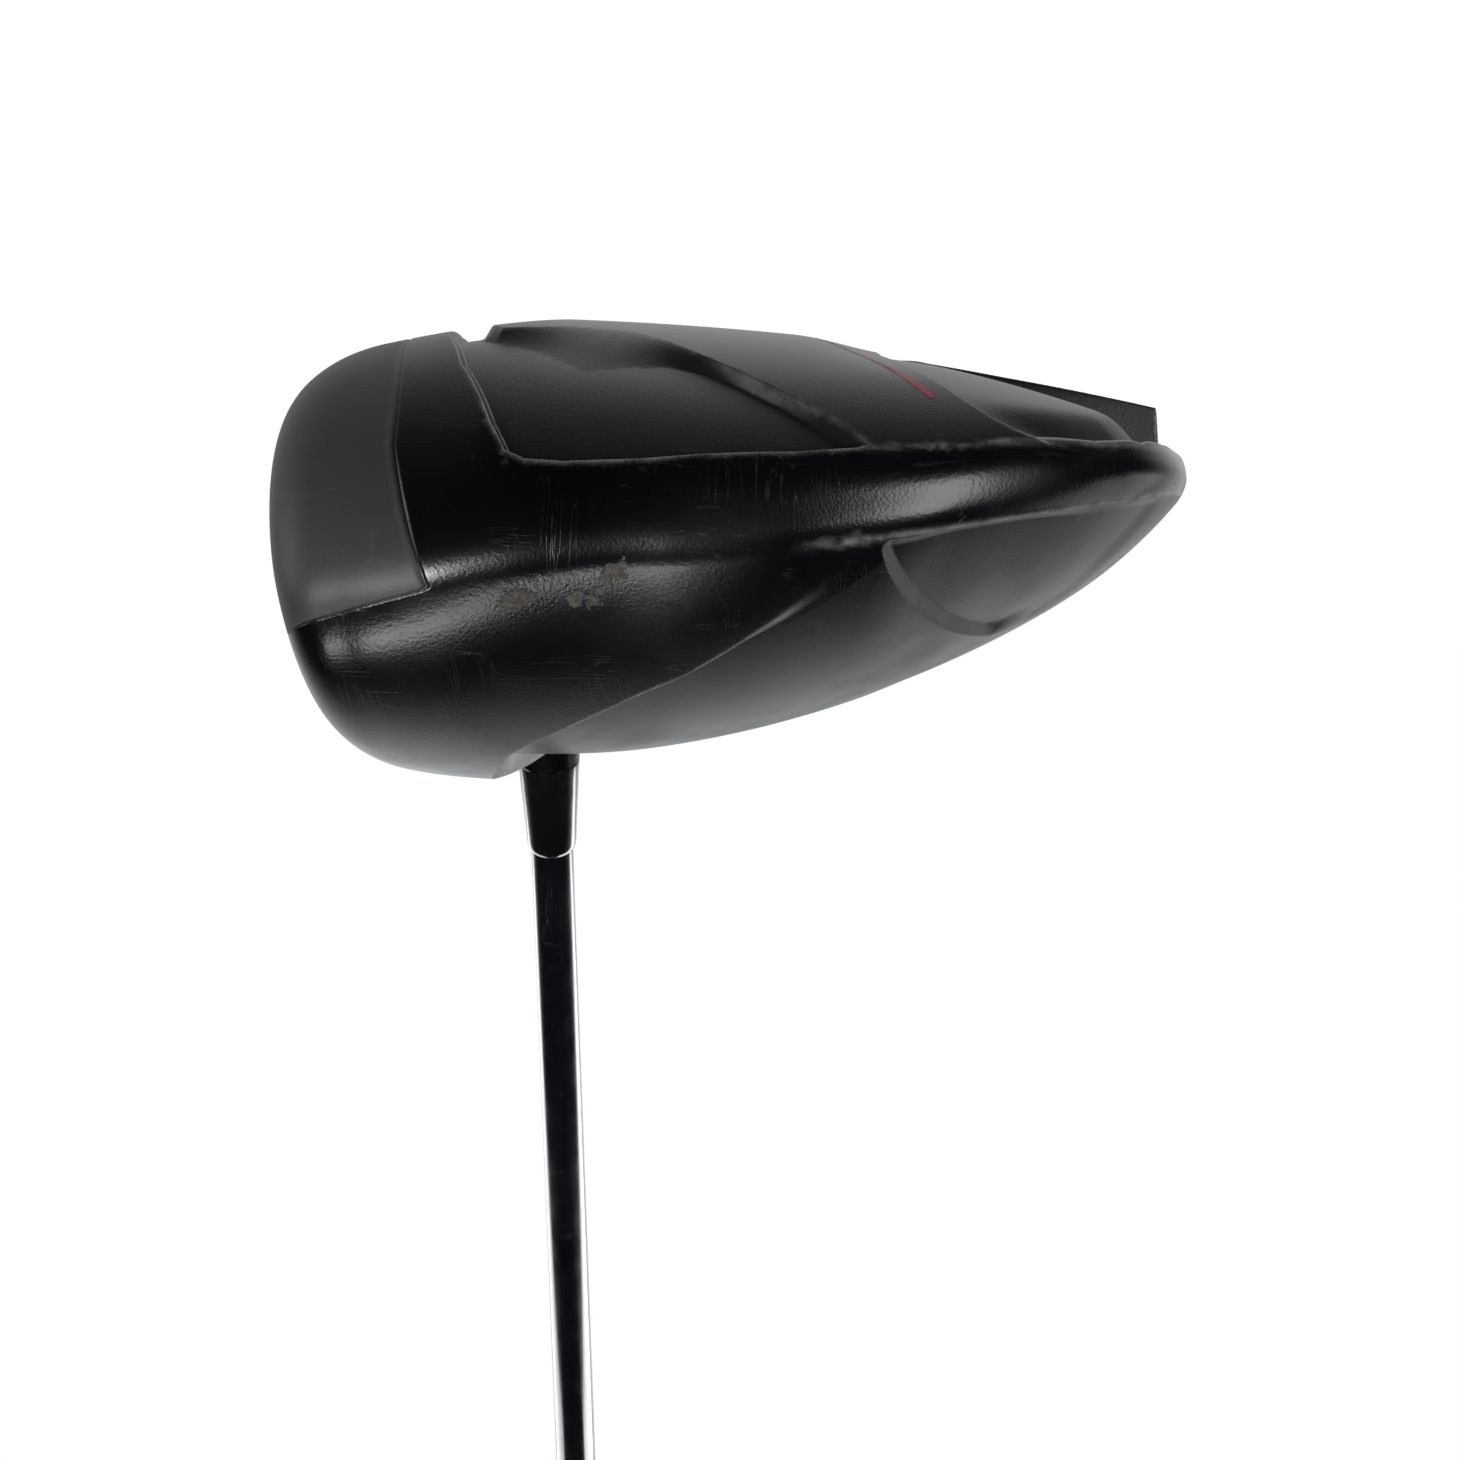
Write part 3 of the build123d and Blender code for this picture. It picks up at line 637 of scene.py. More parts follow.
def make_neck():
    """Hosel collar that grows out of the heel, with the shaft bore down its middle."""
    spokes = spokes_round(AXIS_DIR, NECK_TURNS)
    rings = []
    on_tube = np.arctan(np.linspace(TUBE_LOW, TUBE_HIGH, 50) / HOSEL_R)
    for tilt in np.concatenate((np.radians(np.linspace(FAN_LOW, FAN_HIGH, 110)), on_tube)):
        d = spokes * math.cos(tilt) + AXIS_DIR * math.sin(tilt)
        reach = NECK_REACH / math.cos(max(tilt, 0.0))
        rings.append(neck_hit(axis_point(NECK_FOOT), d, reach))
    for length in np.linspace(NECK_FOOT + TUBE_HIGH + 0.6, HOSEL_TOP - 0.25, 10):
        rings.append(neck_hit(axis_point(length), spokes, NECK_REACH))
    normals = [gradient(neck_field, ring) for ring in rings]
    rings = [ring - normal * neck_sink(ring)[:, None] for ring, normal in zip(rings, normals)]
    top = axis_point(HOSEL_TOP)
    for radius, drop in ((HOSEL_R - 0.25, 0.0), (BORE_R, 0.0), (BORE_R, HOSEL_TOP - BORE_BOTTOM)):
        rings.append(top - AXIS_DIR * drop + spokes * radius)
    points = np.vstack(rings)
    faces = np.array(loop_faces(len(rings), NECK_TURNS))
    corners = np.repeat(face_normals(points, faces)[:, None], 4, axis=1)
    skin = (len(normals) - 1) * NECK_TURNS
    corners[:skin] = np.vstack(normals)[faces[:skin]]
    return make_object("hosel_neck", points, faces, corners.reshape(-1, 3))


# ------------ shaft, ferrule, grip
def shaft_radius(length):
    return np.interp(length, (34.5, 104.0, 303.0, 1146.0), (4.25, 4.25, 5.5, 7.6))


def core_radius(length):
    return np.interp(length, (34.5, 104.0, 303.0, 1146.0), (2.3, 2.3, 4.2, 6.6))


def make_shaft():
    lengths = np.concatenate((np.linspace(34.5, 104, 12), np.linspace(112, 1146, 60)))
    outer = [(shaft_radius(v), v) for v in lengths]
    inner = [(core_radius(v), v) for v in (1146.0, 700.0, 303.0, 104.0, 34.5)]
    return turned("shaft_tube", outer + inner)


def make_ferrule():
    profile = ((4.27, 71.05), (5.8, 71.05), (5.96, 71.2), (5.95, 72.0), (5.8, 74.0), (5.65, 77.0),
               (5.4, 81.0), (5.15, 85.5), (4.97, 89.4), (4.9, 90.4), (4.84, 91.0), (4.7, 91.55),
               (4.5, 91.9), (4.27, 92.0))
    return turned("ferrule_sleeve", profile)


GRIP_START, GRIP_END = 884.0, 1143.0
GRIP_BANDS = (958.0, 1048.0)  # middles of the two plain bands
GRIP_LINES = (893.0, 951.0, 965.0, 1041.0, 1055.0, 1137.0)


def grip_radius(length):
    return np.interp(length, (GRIP_START, 885.5, 964.0, 1064.0, 1134.0, GRIP_END),
                     (8.8, 9.6, 10.2, 11.6, 12.6, 13.0))


def grip_carve(radii, length, angles):
    """Crossed diagonal grooves over the grip, with plain bands between thin rings."""
    if radii[0] < 8.6:
        return radii
    open_band = ease((length - 894.0) / 4.0) * ease((1136.0 - length) / 4.0)
    for middle in GRIP_BANDS:
        open_band = open_band * (1.0 - ease((7.0 - abs(length - middle)) / 2.0))
    turns = angles * 9.0
    pitch = length / 7.2 * 2.0 * math.pi
    first = np.exp(-((1.0 - np.cos(turns + pitch)) / 0.10))
    second = np.exp(-((1.0 - np.cos(turns - pitch)) / 0.10))
    band_ring = 0.35 * sum(math.exp(-(((length - v) / 0.6) ** 2)) for v in GRIP_LINES)
    return radii - 0.38 * open_band * np.maximum(first, second) - band_ring


def make_grip():
    lengths = np.linspace(GRIP_START + 1.6, GRIP_END, 440)
    outer = [(8.6, GRIP_START), (9.2, GRIP_START + 0.15), (9.5, GRIP_START + 0.7)]
    outer += [(float(grip_radius(v)), float(v)) for v in lengths]
    inner = [(shaft_radius(v) + 0.16, v) for v in (GRIP_END, GRIP_START)]
    return turned("grip_sleeve", outer + inner, 216, carve=grip_carve)


def make_cap():
    section = ((1.5, 1146.0), (7.7, 1146.0), (7.7, 1143.0), (13.4, 1143.0), (13.4, 1150.0), (1.5, 1150.0))
    return turned("butt_cap", with_rounding(section, 0.8), 144)


def make_label():
    lengths = (620.0, 620.2, 667.0, 714.8, 715.0)
    lift = (0.04, 0.13, 0.13, 0.13, 0.04)
    outer = [(shaft_radius(v) + h, v) for v, h in zip(lengths, lift)]
    inner = [(shaft_radius(v) - 0.05, v) for v in (715.0, 620.0)]
    return turned("shaft_band", outer + inner)


def make_port_liner():
    """Cup of the weight port, set just under the hole in the rail."""
    section = ((5.6, -0.45), (5.6, -7.2), (2.7, -7.2), (2.7, -8.3), (6.6, -8.3), (6.6, -0.75), (6.1, -0.45))
    return turned("port_liner", section, 128, PORT_MOUTH, PORT_OUT)


# ------------ materials
def node(tree, kind, inputs=None, **settings):
    """Shader node with its settings; an input given as a socket is linked, otherwise set."""
    made = tree.nodes.new("ShaderNode" + kind)
    for key, value in settings.items():
        setattr(made, key, value)
    for key, value in (inputs or {}).items():
        if isinstance(value, bpy.types.NodeSocket):
            tree.links.new(value, made.inputs[key])
        else:
            made.inputs[key].default_value = value
    return made


def object_coords(tree):
    return node(tree, "TexCoord").outputs["Object"]


def place(tree, stretch=(1.0, 1.0, 1.0), turn=(0.0, 0.0, 0.0), shift=(0.0, 0.0, 0.0)):
    settings = {"Vector": object_coords(tree), "Scale": stretch, "Rotation": turn, "Location": shift}
    return node(tree, "Mapping", settings).outputs[0]


def noise(tree, scale, detail=3.0, vector=None, rough=0.55):
    vector = place(tree) if vector is None else vector
    settings = {"Vector": vector, "Scale": scale, "Detail": detail, "Roughness": rough}
    return node(tree, "TexNoise", settings).outputs[0]


def span(tree, value, low, high, out_low=0.0, out_high=1.0):
    """Value mapped from low..high to out_low..out_high with soft ends."""
    ends = {"Value": value, "From Min": low, "From Max": high, "To Min": out_low, "To Max": out_high}
    return node(tree, "MapRange", ends, interpolation_type="SMOOTHSTEP").outputs[0]


def maths(tree, operation, a, b=0.0):
    return node(tree, "Math", {0: a, 1: b}, operation=operation).outputs[0]


def times(tree, a, b):
    return maths(tree, "MULTIPLY", a, b)


def plus(tree, a, b):
    return maths(tree, "ADD", a, b)


def minus(tree, a, b):
    return maths(tree, "SUBTRACT", a, b)


def larger(tree, a, b):
    return maths(tree, "MAXIMUM", a, b)


def blend(tree, share, first, second):
    """Mixes two colours or sockets by share."""
    first, second = (v if isinstance(v, bpy.types.NodeSocket) else (*v, 1.0) for v in (first, second))
    return node(tree, "Mix", {0: share, 6: first, 7: second}, data_type="RGBA").outputs[2]


def hairlines(tree, scale, stretch, turn, width, seed):
    """Broken fine scratches running mostly one way."""
    vector = place(tree, stretch, turn, (seed, seed * 0.7, -seed))
    lines = maths(tree, "ABSOLUTE", minus(tree, noise(tree, scale, 2.0, vector), 0.5))
    lines = span(tree, lines, 0.0, width, 1.0, 0.0)
    breaks = span(tree, noise(tree, 95.0, 2.0, place(tree, shift=(seed * 2.0, 0.0, seed))), 0.54, 0.66)
    return times(tree, lines, breaks)


def new_material(name):
    made = bpy.data.materials.new(name)
    made.use_nodes = True
    made.node_tree.nodes.clear()
    return made, made.node_tree


BUMP_SPAN = 0.0002  # metres


def close_material(tree, colour, rough, height, bump, extra):
    inputs = {"Base Color": colour, "Roughness": rough}
    bumps = {"Height": height, "Strength": bump, "Distance": BUMP_SPAN}
    inputs["Normal"] = node(tree, "Bump", bumps).outputs[0]
    inputs.update(extra)
    node(tree, "OutputMaterial", {0: node(tree, "BsdfPrincipled", inputs).outputs[0]})


def plain_finish(name, dark, light, rough, spread, grain, bump, extra=None, scratch=0.0, dust=0.0):
    """Finish with cloudy colour and roughness, fine grain, and optional scratches and dust."""
    made, tree = new_material(name)
    clouds = noise(tree, 35.0, 4.0)
    colour = blend(tree, span(tree, clouds, 0.35, 0.65), dark, light)
    roughness = span(tree, noise(tree, 90.0, 5.0), 0.3, 0.7, rough - spread, rough + spread)
    height = noise(tree, grain, 4.0)
    if scratch > 0.0:
        lines = hairlines(tree, 30.0, (1.0, 26.0, 1.6), (0.4, 0.2, 0.9), 0.006, 3.1)
        other = hairlines(tree, 34.0, (24.0, 1.0, 1.4), (0.9, 0.5, 0.2), 0.006, 7.7)
        both = times(tree, larger(tree, lines, other), scratch)
        colour = blend(tree, both, colour, (0.16, 0.16, 0.155))
        roughness = plus(tree, roughness, times(tree, both, 0.2))
    if dust > 0.0:
        specks = span(tree, noise(tree, 900.0, 2.0), 0.70, 0.76, 0.0, dust)
        colour = blend(tree, specks, colour, (0.22, 0.21, 0.19))
    close_material(tree, colour, roughness, height, bump, extra or {})
    return made


CHIPS = (((-57.2, 32.0, 41.5), 1.5), ((-57.2, 31.0, 41.8), 1.1), ((-57.2, 33.0, 41.3), 1.0),
         ((-55.6, 37.6, 41.4), 0.9), ((-55.0, 39.1, 41.5), 1.0), ((-56.1, 39.8, 40.3), 0.8),
         ((-57.3, 41.7, 38.6), 1.1), ((-56.8, 40.8, 39.3), 0.8), ((-57.7, 42.4, 38.0), 0.8))
CHIP_COLOUR = (0.052, 0.046, 0.037)


def chip_mask(tree):
    """Ragged paint chips at fixed places on the toe."""
    ragged = times(tree, minus(tree, noise(tree, 700.0, 4.0, rough=0.7), 0.5), 0.0042)
    total = None
    for spot, radius in CHIPS:
        ends = {0: object_coords(tree), 1: tuple(v * MM for v in spot)}
        gap = node(tree, "VectorMath", ends, operation="DISTANCE").outputs["Value"]
        edge = plus(tree, gap, ragged)
        mask = span(tree, edge, radius * MM * 0.75, radius * MM, 1.0, 0.0)
        total = mask if total is None else larger(tree, total, mask)
    return total


def painted_head(name, gloss, matte):
    """Black paint: glossy skirt and matte sunk sole, with edge wear and painted edge highlights, scratches
    and chips.

    gloss and matte are (colour, roughness) pairs, mixed by the vertex value 'matte'."""
    made, tree = new_material(name)
    share, edge_wear_and_highlight, seam, nicked = (node(tree, "Attribute", attribute_name=key).outputs["Fac"]
                                 for key in ("matte", "edge_wear_and_highlight", "seam", "nicked"))
    clouds = span(tree, noise(tree, 40.0, 4.0), 0.3, 0.7)
    colour = blend(tree, share, gloss[0], matte[0])
    colour = blend(tree, times(tree, clouds, 0.2), colour, (0.006, 0.006, 0.0065))
    smudge = span(tree, noise(tree, 70.0, 5.0), 0.35, 0.7, -0.03, 0.05)
    glossy_rough = plus(tree, smudge, gloss[1])
    rough = node(tree, "Mix", {0: share, 2: glossy_rough, 3: matte[1]}, data_type="FLOAT").outputs[0]
    lines = larger(tree, hairlines(tree, 26.0, (2.0, 1.6, 30.0), (1.1, 0.1, 0.2), 0.006, 2.3),
                   hairlines(tree, 30.0, (2.0, 28.0, 1.4), (0.5, 0.2, 0.1), 0.006, 5.9))
    lines = larger(tree, lines, hairlines(tree, 45.0, (2.0, 1.3, 24.0), (-0.7, 0.1, 0.2), 0.007, 9.1))
    lines = times(tree, lines, 0.09)
    colour = blend(tree, lines, colour, (0.15, 0.15, 0.155))
    rough = plus(tree, rough, times(tree, lines, 0.3))
    breakup = span(tree, noise(tree, 260.0, 5.0, rough=0.7), 0.38, 0.62)
    # Lighter grey along the edges, the crown step and the crease: partly edge wear, partly painted edge
    # highlight.
    edge = times(tree, edge_wear_and_highlight, plus(tree, times(tree, breakup, 0.75), 0.25))
    colour = blend(tree, edge, colour, (0.20, 0.195, 0.185))
    rough = plus(tree, rough, times(tree, edge, 0.12))
    nicks = times(tree, span(tree, noise(tree, 420.0, 3.0, rough=0.6), 0.64, 0.69), nicked)
    chips = larger(tree, chip_mask(tree), nicks)
    speckle = blend(tree, span(tree, noise(tree, 1500.0, 3.0), 0.4, 0.6), CHIP_COLOUR, (0.022, 0.020, 0.016))
    colour = blend(tree, chips, colour, speckle)
    rough = node(tree, "Mix", {0: chips, 2: rough, 3: 0.75}, data_type="FLOAT").outputs[0]
    colour = blend(tree, seam, colour, (0.003, 0.003, 0.003))
    grain = noise(tree, 2600.0, 2.0)
    height = minus(tree, times(tree, grain, 0.35), chips)
    height = minus(tree, height, times(tree, lines, 0.8))
    shine = {"Specular IOR Level": span(tree, share, 0.0, 1.0, 0.5, 0.4)}
    close_material(tree, colour, rough, height, 0.35, shine)
    return made


def grip_finish():
    """Black rubber, shinier where it has been held."""
    made, tree = new_material("grip_rubber_look")
    handled = span(tree, noise(tree, 14.0, 3.0, place(tree, (1.0, 1.0, 0.4))), 0.35, 0.7)
    colour = blend(tree, handled, (0.016, 0.016, 0.017), (0.034, 0.034, 0.033))
    rough = span(tree, handled, 0.0, 1.0, 0.82, 0.58)
    height = noise(tree, 1400.0, 5.0)
    close_material(tree, colour, rough, height, 0.5, {})
    return made


def band_finish():
    """Plain two-tone film band with thin rings, and no lettering."""
    made, tree = new_material("label_film_look")
    pair = {0: object_coords(tree), 1: tuple(AXIS_DIR)}
    along = node(tree, "VectorMath", pair, operation="DOT_PRODUCT").outputs["Value"]
    wave = maths(tree, "SINE", times(tree, along, 2.0 * math.pi / 0.0315))
    rings = span(tree, wave, 0.90, 0.93)
    colour = blend(tree, rings, (0.035, 0.037, 0.042), (0.30, 0.31, 0.32))
    colour = blend(tree, span(tree, noise(tree, 500.0, 4.0), 0.62, 0.7, 0.0, 0.5), colour, (0.02, 0.02, 0.02))
    rough = span(tree, noise(tree, 60.0, 4.0), 0.3, 0.7, 0.22, 0.4)
    close_material(tree, colour, rough, noise(tree, 1100.0, 3.0), 0.1, {})
    return made


GLOSS = ((0.0007, 0.0009, 0.0015), 0.23)
MATTE = ((0.005, 0.005, 0.005), 0.41)
FACE_MATTE = ((0.032, 0.032, 0.0325), 0.50)
CROWN_GLOSS = ((0.0025, 0.0028, 0.0035), 0.35)
METAL = {"Metallic": 1.0}
LACQUER = {"Coat Weight": 0.8, "Coat Roughness": 0.08, "Specular IOR Level": 0.7}
DULL = {"Specular IOR Level": 0.2}
# Dark and light colour, roughness, its spread, grain scale, bump, shader settings, scratches, dust.
PLAIN_LOOKS = {
    "red_enamel": ((0.16, 0.003, 0.010), (0.22, 0.006, 0.016), 0.45, 0.08, 900.0, 0.15, DULL),
    "adhesive": ((0.30, 0.22, 0.10), (0.42, 0.33, 0.17), 0.35, 0.10, 300.0, 0.4),
    "hot_melt": ((0.55, 0.50, 0.36), (0.68, 0.63, 0.48), 0.30, 0.10, 200.0, 0.5),
    "bare_metal": ((0.36, 0.35, 0.34), (0.50, 0.49, 0.47), 0.38, 0.10, 800.0, 0.3, METAL, 0.3),
    "weight_metal": ((0.10, 0.10, 0.105), (0.17, 0.17, 0.175), 0.34, 0.09, 900.0, 0.25, METAL, 0.6, 0.3),
    "seal_rubber": ((0.012, 0.012, 0.012), (0.03, 0.03, 0.03), 0.75, 0.1, 1500.0, 0.5),
    "screw_steel": ((0.20, 0.20, 0.205), (0.32, 0.32, 0.33), 0.28, 0.09, 1200.0, 0.2, METAL, 0.6, 0.3),
    "pin_brass": ((0.52, 0.38, 0.15), (0.66, 0.50, 0.22), 0.30, 0.08, 900.0, 0.2, METAL, 0.3),
    "ferrule_plastic": ((0.002, 0.002, 0.0022), (0.004, 0.004, 0.0045), 0.17, 0.05, 1800.0, 0.05,
                        LACQUER, 0.25),
    "shaft_lacquer": ((0.0012, 0.0018, 0.0030), (0.003, 0.004, 0.006), 0.20, 0.05, 2200.0, 0.05,
                      LACQUER, 0.2, 0.15),
    "tape": ((0.55, 0.50, 0.38), (0.66, 0.61, 0.48), 0.6, 0.1, 700.0, 0.4),
}


def build_looks():
    made = {name: plain_finish(name + "_look", *values) for name, values in PLAIN_LOOKS.items()}
    made["head_paint"] = painted_head("head_paint_look", GLOSS, MATTE)
    made["face_finish"] = painted_head("face_finish_look", GLOSS, FACE_MATTE)
    made["crown_paint"] = painted_head("crown_paint_look", CROWN_GLOSS, MATTE)
    made["label_film"] = band_finish()
    made["grip_rubber"] = grip_finish()
    return made


# ------------ build the pieces
looks = build_looks()


def dress(piece, slot, *nodes):
    """Gives a piece of the club body its material and hides the CAD nodes that it replaces."""
    piece.data.materials.append(looks[slot])
    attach(piece, "club")
    if nodes:
        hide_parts(*nodes)


def bump_line(distance, width):
    return np.exp(-((distance / width) ** 2))


def surface_values(base):
    """Vertex values that steer the paint: matte areas, edge wear with painted edge highlights, the seam and
    nicked zones.
    """
    x, y, z = base[:, 0], base[:, 1], base[:, 2]
    sole = ease(waist(y) - 1.0 - z)
    crown = 1.0 - sole
    panel = panel_distance(x, y)
    plateau = plateau_distance(x, y)
    seam = seam_distance(base)
    strip = ease((34.0 - z) / 16.0) * ease((32.0 - y) / 9.0)
    matte = np.maximum(np.maximum(sole * ease(panel), ease(seam + 0.5)), strip)
    # Light lines on the panel and plateau edges, the crease, the crown step and beside the seam: partly edge
    # wear, partly painted edge highlight.
    edge = sole * bump_line(panel - 0.1, 0.24) * 0.6
    edge = np.maximum(edge, sole * bump_line(plateau + 0.1, 0.22) * 0.25 * ease((np.abs(x) - 12.0) / 6.0))
    from_crease = z - crease_height(y)
    crease = crown * bump_line(from_crease, 0.35) * ease((y - 58.0) / 8.0) * 0.6
    step = crown * bump_line(step_distance(x, y) - 0.25, 0.35) * step_fade(y) * 0.9
    edge_wear_and_highlight = np.maximum(np.maximum(edge, crease), np.maximum(step, bump_line(seam - 0.5, 0.3) * 0.12))
    rear_crown_edge = crown * bump_line(from_crease, 1.5) * ease((y - 60.0) / 8.0)
    nicked = np.maximum(sole * bump_line(panel, 0.9), rear_crown_edge) * 0.4
    return {"matte": matte, "edge_wear_and_highlight": edge_wear_and_highlight, "seam": bump_line(seam, 0.28) * 0.9, "nicked": nicked}


def build_head():
    dirs, base, tris = refined_head()
    dirs, base, tris, on_cup = clip(dirs, base, tris, seam_distance)
    parts = [("face_cup", "face_finish", tris[on_cup])]
    dirs, base, rest, on_panel = clip(dirs, base, tris[~on_cup], panel_edge)
    crown_tris = rest[on_panel]
    rest = rest[~on_panel]
    dirs, base, crown_tris, inner = clip(dirs, base, crown_tris, ledge_line)
    parts.append(("crown_panel", "crown_paint", crown_tris))
    parts.append(("crown_bond", "adhesive", crown_tris[~inner]))
    dirs, base, rest, on_stripe = clip(dirs, base, rest, stripe_distance)
    stripes = rest[on_stripe]
    dirs, base, rest, outside_port = clip(dirs, base, rest[~on_stripe], port_distance)
    parts.append(("head_body", "head_paint", rest[outside_port]))
    toe_side = base[stripes[:, 0], 0] < 0.0
    parts.append(("stripe_toe", "red_enamel", stripes[toe_side]))
    parts.append(("stripe_heel", "red_enamel", stripes[~toe_side]))
    points = detail(base, dirs)
    normals = surface_normals(dirs, base)
    values = surface_values(base)
    at_port = ease((4.0 - port_distance(base)) / 4.0)[:, None]
    outward = unit(dirs * (1.0 - at_port) + PORT_OUT * at_port)
    for name, slot, triangles in parts:
        proud = points + dirs * PROUD.get(name, 0.0)
        used, all_points, faces, corner = shell(proud, outward, normals, triangles, SHELL_T[name])
        piece_values = {key: np.tile(v[used], 2) for key, v in values.items()}
        dress(make_object(name + "_skin", all_points, faces, corner, piece_values), slot, name)


def ledge_line(base):
    """Positive further inside the crown panel than the glued ledge reaches."""
    return panel_edge(base) - 7.0


GLUE_MID, GLUE_HALF = (-34.0, 36.0), (11.0, 7.7)
GLUE_GAP, GLUE_THICK = 1.15, 2.7  # from the outer skin, and at the middle of the lens


def make_glue():
    """Lens of damping glue on the inside of the sole, near the toe."""
    count, rings = 72, 12
    angles = circle(count)
    low_rings, high_rings = [], []
    for i in range(1, rings + 1):
        share = i / rings
        wobble = 1.0 + 0.05 * np.sin(3.0 * angles + 0.7) + 0.03 * np.sin(7.0 * angles)
        x = GLUE_MID[0] + GLUE_HALF[0] * share * np.cos(angles) * wobble
        y = GLUE_MID[1] + GLUE_HALF[1] * share * np.sin(angles) * wobble
        seat = np.stack((x, y, sole_height(x, y)), 1)
        d = unit(seat - HEART)
        floor_points = finished(d) - d * GLUE_GAP
        low_rings.append(floor_points)
        high_rings.append(floor_points - d * (0.25 + GLUE_THICK * math.sqrt(max(1.0 - share**2.4, 0.0))))
    points = np.vstack(low_rings + high_rings[::-1])
    faces = ring_faces(2 * rings, count)
    faces.append(tuple(range(count - 1, -1, -1)))
    faces.append(tuple((2 * rings - 1) * count + j for j in range(count)))
    return make_object("damping_lens", points, faces)


# How far each skin stands proud of the finished head, how thick it is, and how finely it is split.
PROUD = {"stripe_toe": 0.04, "stripe_heel": 0.04, "crown_bond": -0.92}
SHELL_T = {"face_cup": 2.6, "crown_panel": 0.9, "head_body": 1.1, "stripe_toe": 0.3, "stripe_heel": 0.3,
           "crown_bond": 0.2}
REFINE_PASSES = 14

build_head()
dress(make_glue(), "hot_melt", "damping_glue")
dress(make_neck(), "head_paint")
dress(make_port_liner(), "bare_metal")
dress(make_ferrule(), "ferrule_plastic", "ferrule")
dress(make_shaft(), "shaft_lacquer", "shaft")
dress(make_label(), "label_film", "shaft_label")
dress(make_grip(), "grip_rubber", "grip")
dress(make_cap(), "grip_rubber", "grip_cap")

CAD_LOOKS = {"port_boss": "bare_metal", "rear_weight": "weight_metal", "weight_seal": "seal_rubber",
             "weight_screw": "screw_steel", "screw_clip": "screw_steel", "hosel_bond": "adhesive",
             "tip_pin": "pin_brass", "grip_tape": "tape"}
for name, slot in CAD_LOOKS.items():
    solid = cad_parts[name]
    solid.data.materials.clear()
    solid.data.materials.append(looks[slot])
    solid.data.shade_smooth()
    solid.data.set_sharp_from_angle(angle=math.radians(30.0))

# ------------ floor, light and camera
scene = bpy.context.scene


def lamp(name, aim, direction, reach, size, power, only):
    """Area lamp out along a direction from its aim; only names the pieces it lights, if not all."""
    light = bpy.data.lights.new(name, "AREA")
    light.shape = "RECTANGLE"
    light.size, light.size_y = size
    light.energy = power
    made = bpy.data.objects.new(name, light)
    towards = Vector(direction).normalized() * reach
    made.location = aim + towards
    made.rotation_mode = "QUATERNION"
    made.rotation_quaternion = (-towards).to_track_quat("-Z", "Y")
    made.visible_camera = False
    scene.collection.objects.link(made)
    if only:
        lit = bpy.data.collections.new(name + "_lights")
        for piece in only:
            lit.objects.link(bpy.data.objects[piece])
        made.light_linking.receiver_collection = lit


def build_floor():
    side, drop = 8000.0, -600.0
    corners = ((-side, -side, drop), (side, -side, drop), (side, side, drop), (-side, side, drop))
    floor = make_object("floor", np.array(corners), [(0, 1, 2, 3)])
    made, tree = new_material("pale_floor")
    diffuse = node(tree, "BsdfDiffuse", {"Color": (0.86, 0.86, 0.86, 1.0)})
    glow = node(tree, "Emission", {"Color": (1.0, 1.0, 1.0, 1.0), "Strength": 0.9})
    both = node(tree, "AddShader", {0: diffuse.outputs[0], 1: glow.outputs[0]})
    node(tree, "OutputMaterial", {0: both.outputs[0]})
    floor.data.materials.append(made)
    floor.visible_glossy = False
    floor.visible_diffuse = False
    floor.visible_shadow = False


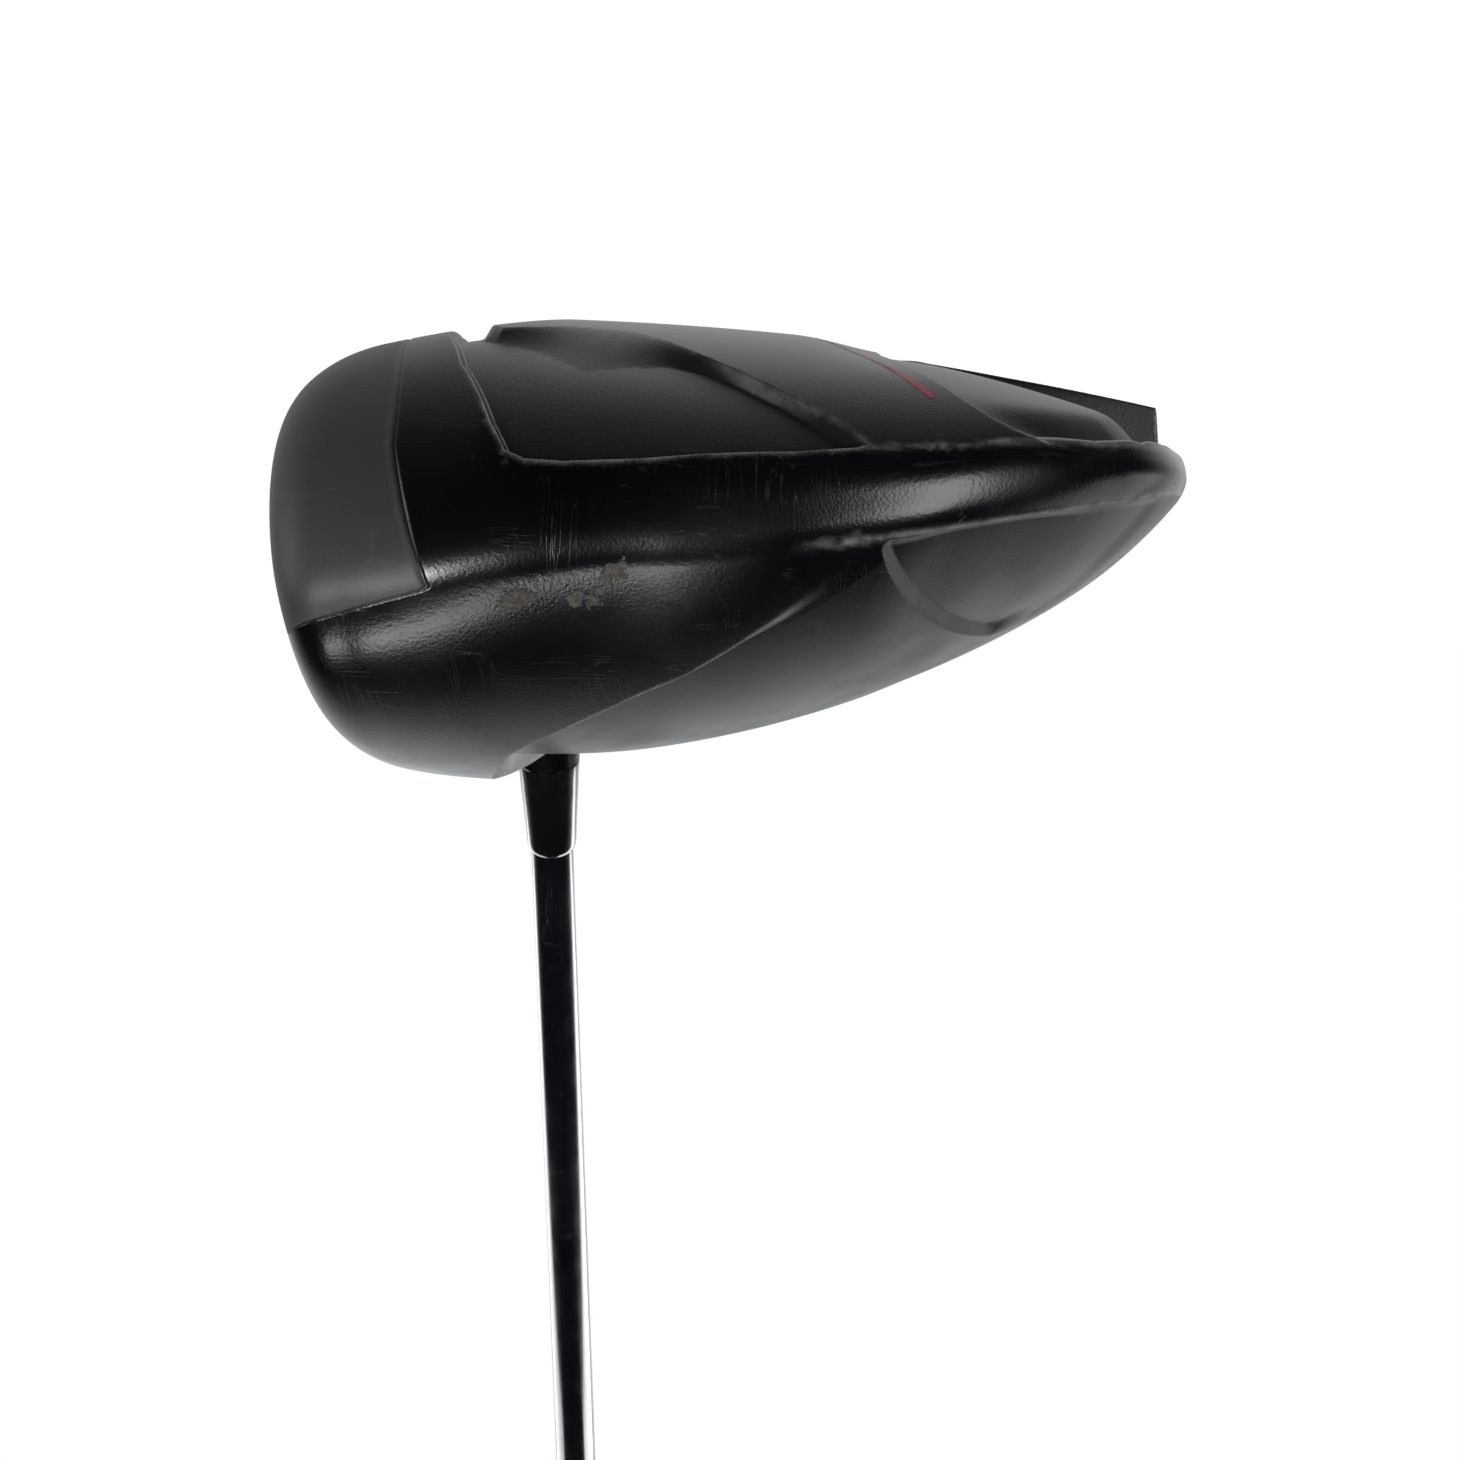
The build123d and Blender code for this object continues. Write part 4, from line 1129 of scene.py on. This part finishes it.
def build_world():
    """White backdrop for the camera; the head mirrors a room that is bright behind it and dark in front."""
    world = bpy.data.worlds.new("studio")
    scene.world = world
    world.use_nodes = True
    tree = world.node_tree
    tree.nodes.clear()
    direction = node(tree, "TexCoord").outputs["Generated"]
    parts = node(tree, "SeparateXYZ", {0: direction})
    below = times(tree, maths(tree, "MINIMUM", parts.outputs["Z"], 0.0), -0.08)
    behind = span(tree, plus(tree, parts.outputs["X"], below), 0.25, 0.95, 0.008, 0.9)
    seen = node(tree, "Background", {"Color": (1.0, 1.0, 1.0, 1.0), "Strength": 1.0})
    room = node(tree, "Background", {"Color": (0.97, 0.985, 1.0, 1.0), "Strength": behind})
    camera_ray = node(tree, "LightPath").outputs["Is Camera Ray"]
    mix = node(tree, "MixShader", {0: camera_ray, 1: room.outputs[0], 2: seen.outputs[0]})
    node(tree, "OutputWorld", {0: mix.outputs[0]})


def build_camera():
    """Close to the toe, upside down, level with the middle of the head and rolled a little."""
    data = bpy.data.cameras.new("camera")
    data.sensor_width = 36.0
    data.lens = 33.53
    data.clip_start, data.clip_end = 0.01, 50.0
    camera = bpy.data.objects.new("camera", data)
    roll = math.radians(2.4)
    c, s = math.cos(roll), math.sin(roll)
    turn = Matrix(((0.0, 0.0, -1.0), (c, -s, 0.0), (-s, -c, 0.0)))
    camera.matrix_world = Matrix.Translation((-0.195, 0.054, 0.054)) @ turn.to_4x4()
    scene.collection.objects.link(camera)
    scene.camera = camera


build_floor()
build_world()
build_camera()
HEAD_AIM = Vector((-0.05, 0.05, 0.035))
SHAFT_AIM = Vector((0.12, 0.02, 0.15))
HEAD_PIECES = ("face_cup_skin", "head_body_skin")
SHAFT_PIECES = ("shaft_tube", "ferrule_sleeve")
lamp("left_window", HEAD_AIM, (-0.80, -0.25, 0.42), 0.8, (0.28, 0.30), 6.5, ())
lamp("top_window", HEAD_AIM, (-0.19, -0.04, 0.98), 0.8, (0.40, 0.13), 1.2, HEAD_PIECES)
lamp("right_window", HEAD_AIM, (-0.66, 0.68, -0.22), 0.8, (0.26, 0.80), 4.2, ())
lamp("face_fill", HEAD_AIM, (-0.10, -0.95, -0.25), 0.9, (0.5, 0.7), 2.2, ())
lamp("sole_fill", HEAD_AIM, (0.60, 0.10, -0.79), 0.9, (0.6, 0.6), 0.7, ())
lamp("tail_fill", HEAD_AIM, (0.25, 0.93, 0.20), 0.9, (0.5, 0.5), 0.8, ())
lamp("shaft_left", SHAFT_AIM, (0.62, -0.53, 0.57), 0.8, (0.30, 0.80), 1.6, SHAFT_PIECES)
lamp("shaft_right", SHAFT_AIM, (0.62, 0.53, 0.57), 0.8, (0.30, 0.80), 3.0, SHAFT_PIECES)
scene.view_settings.view_transform = "Standard"
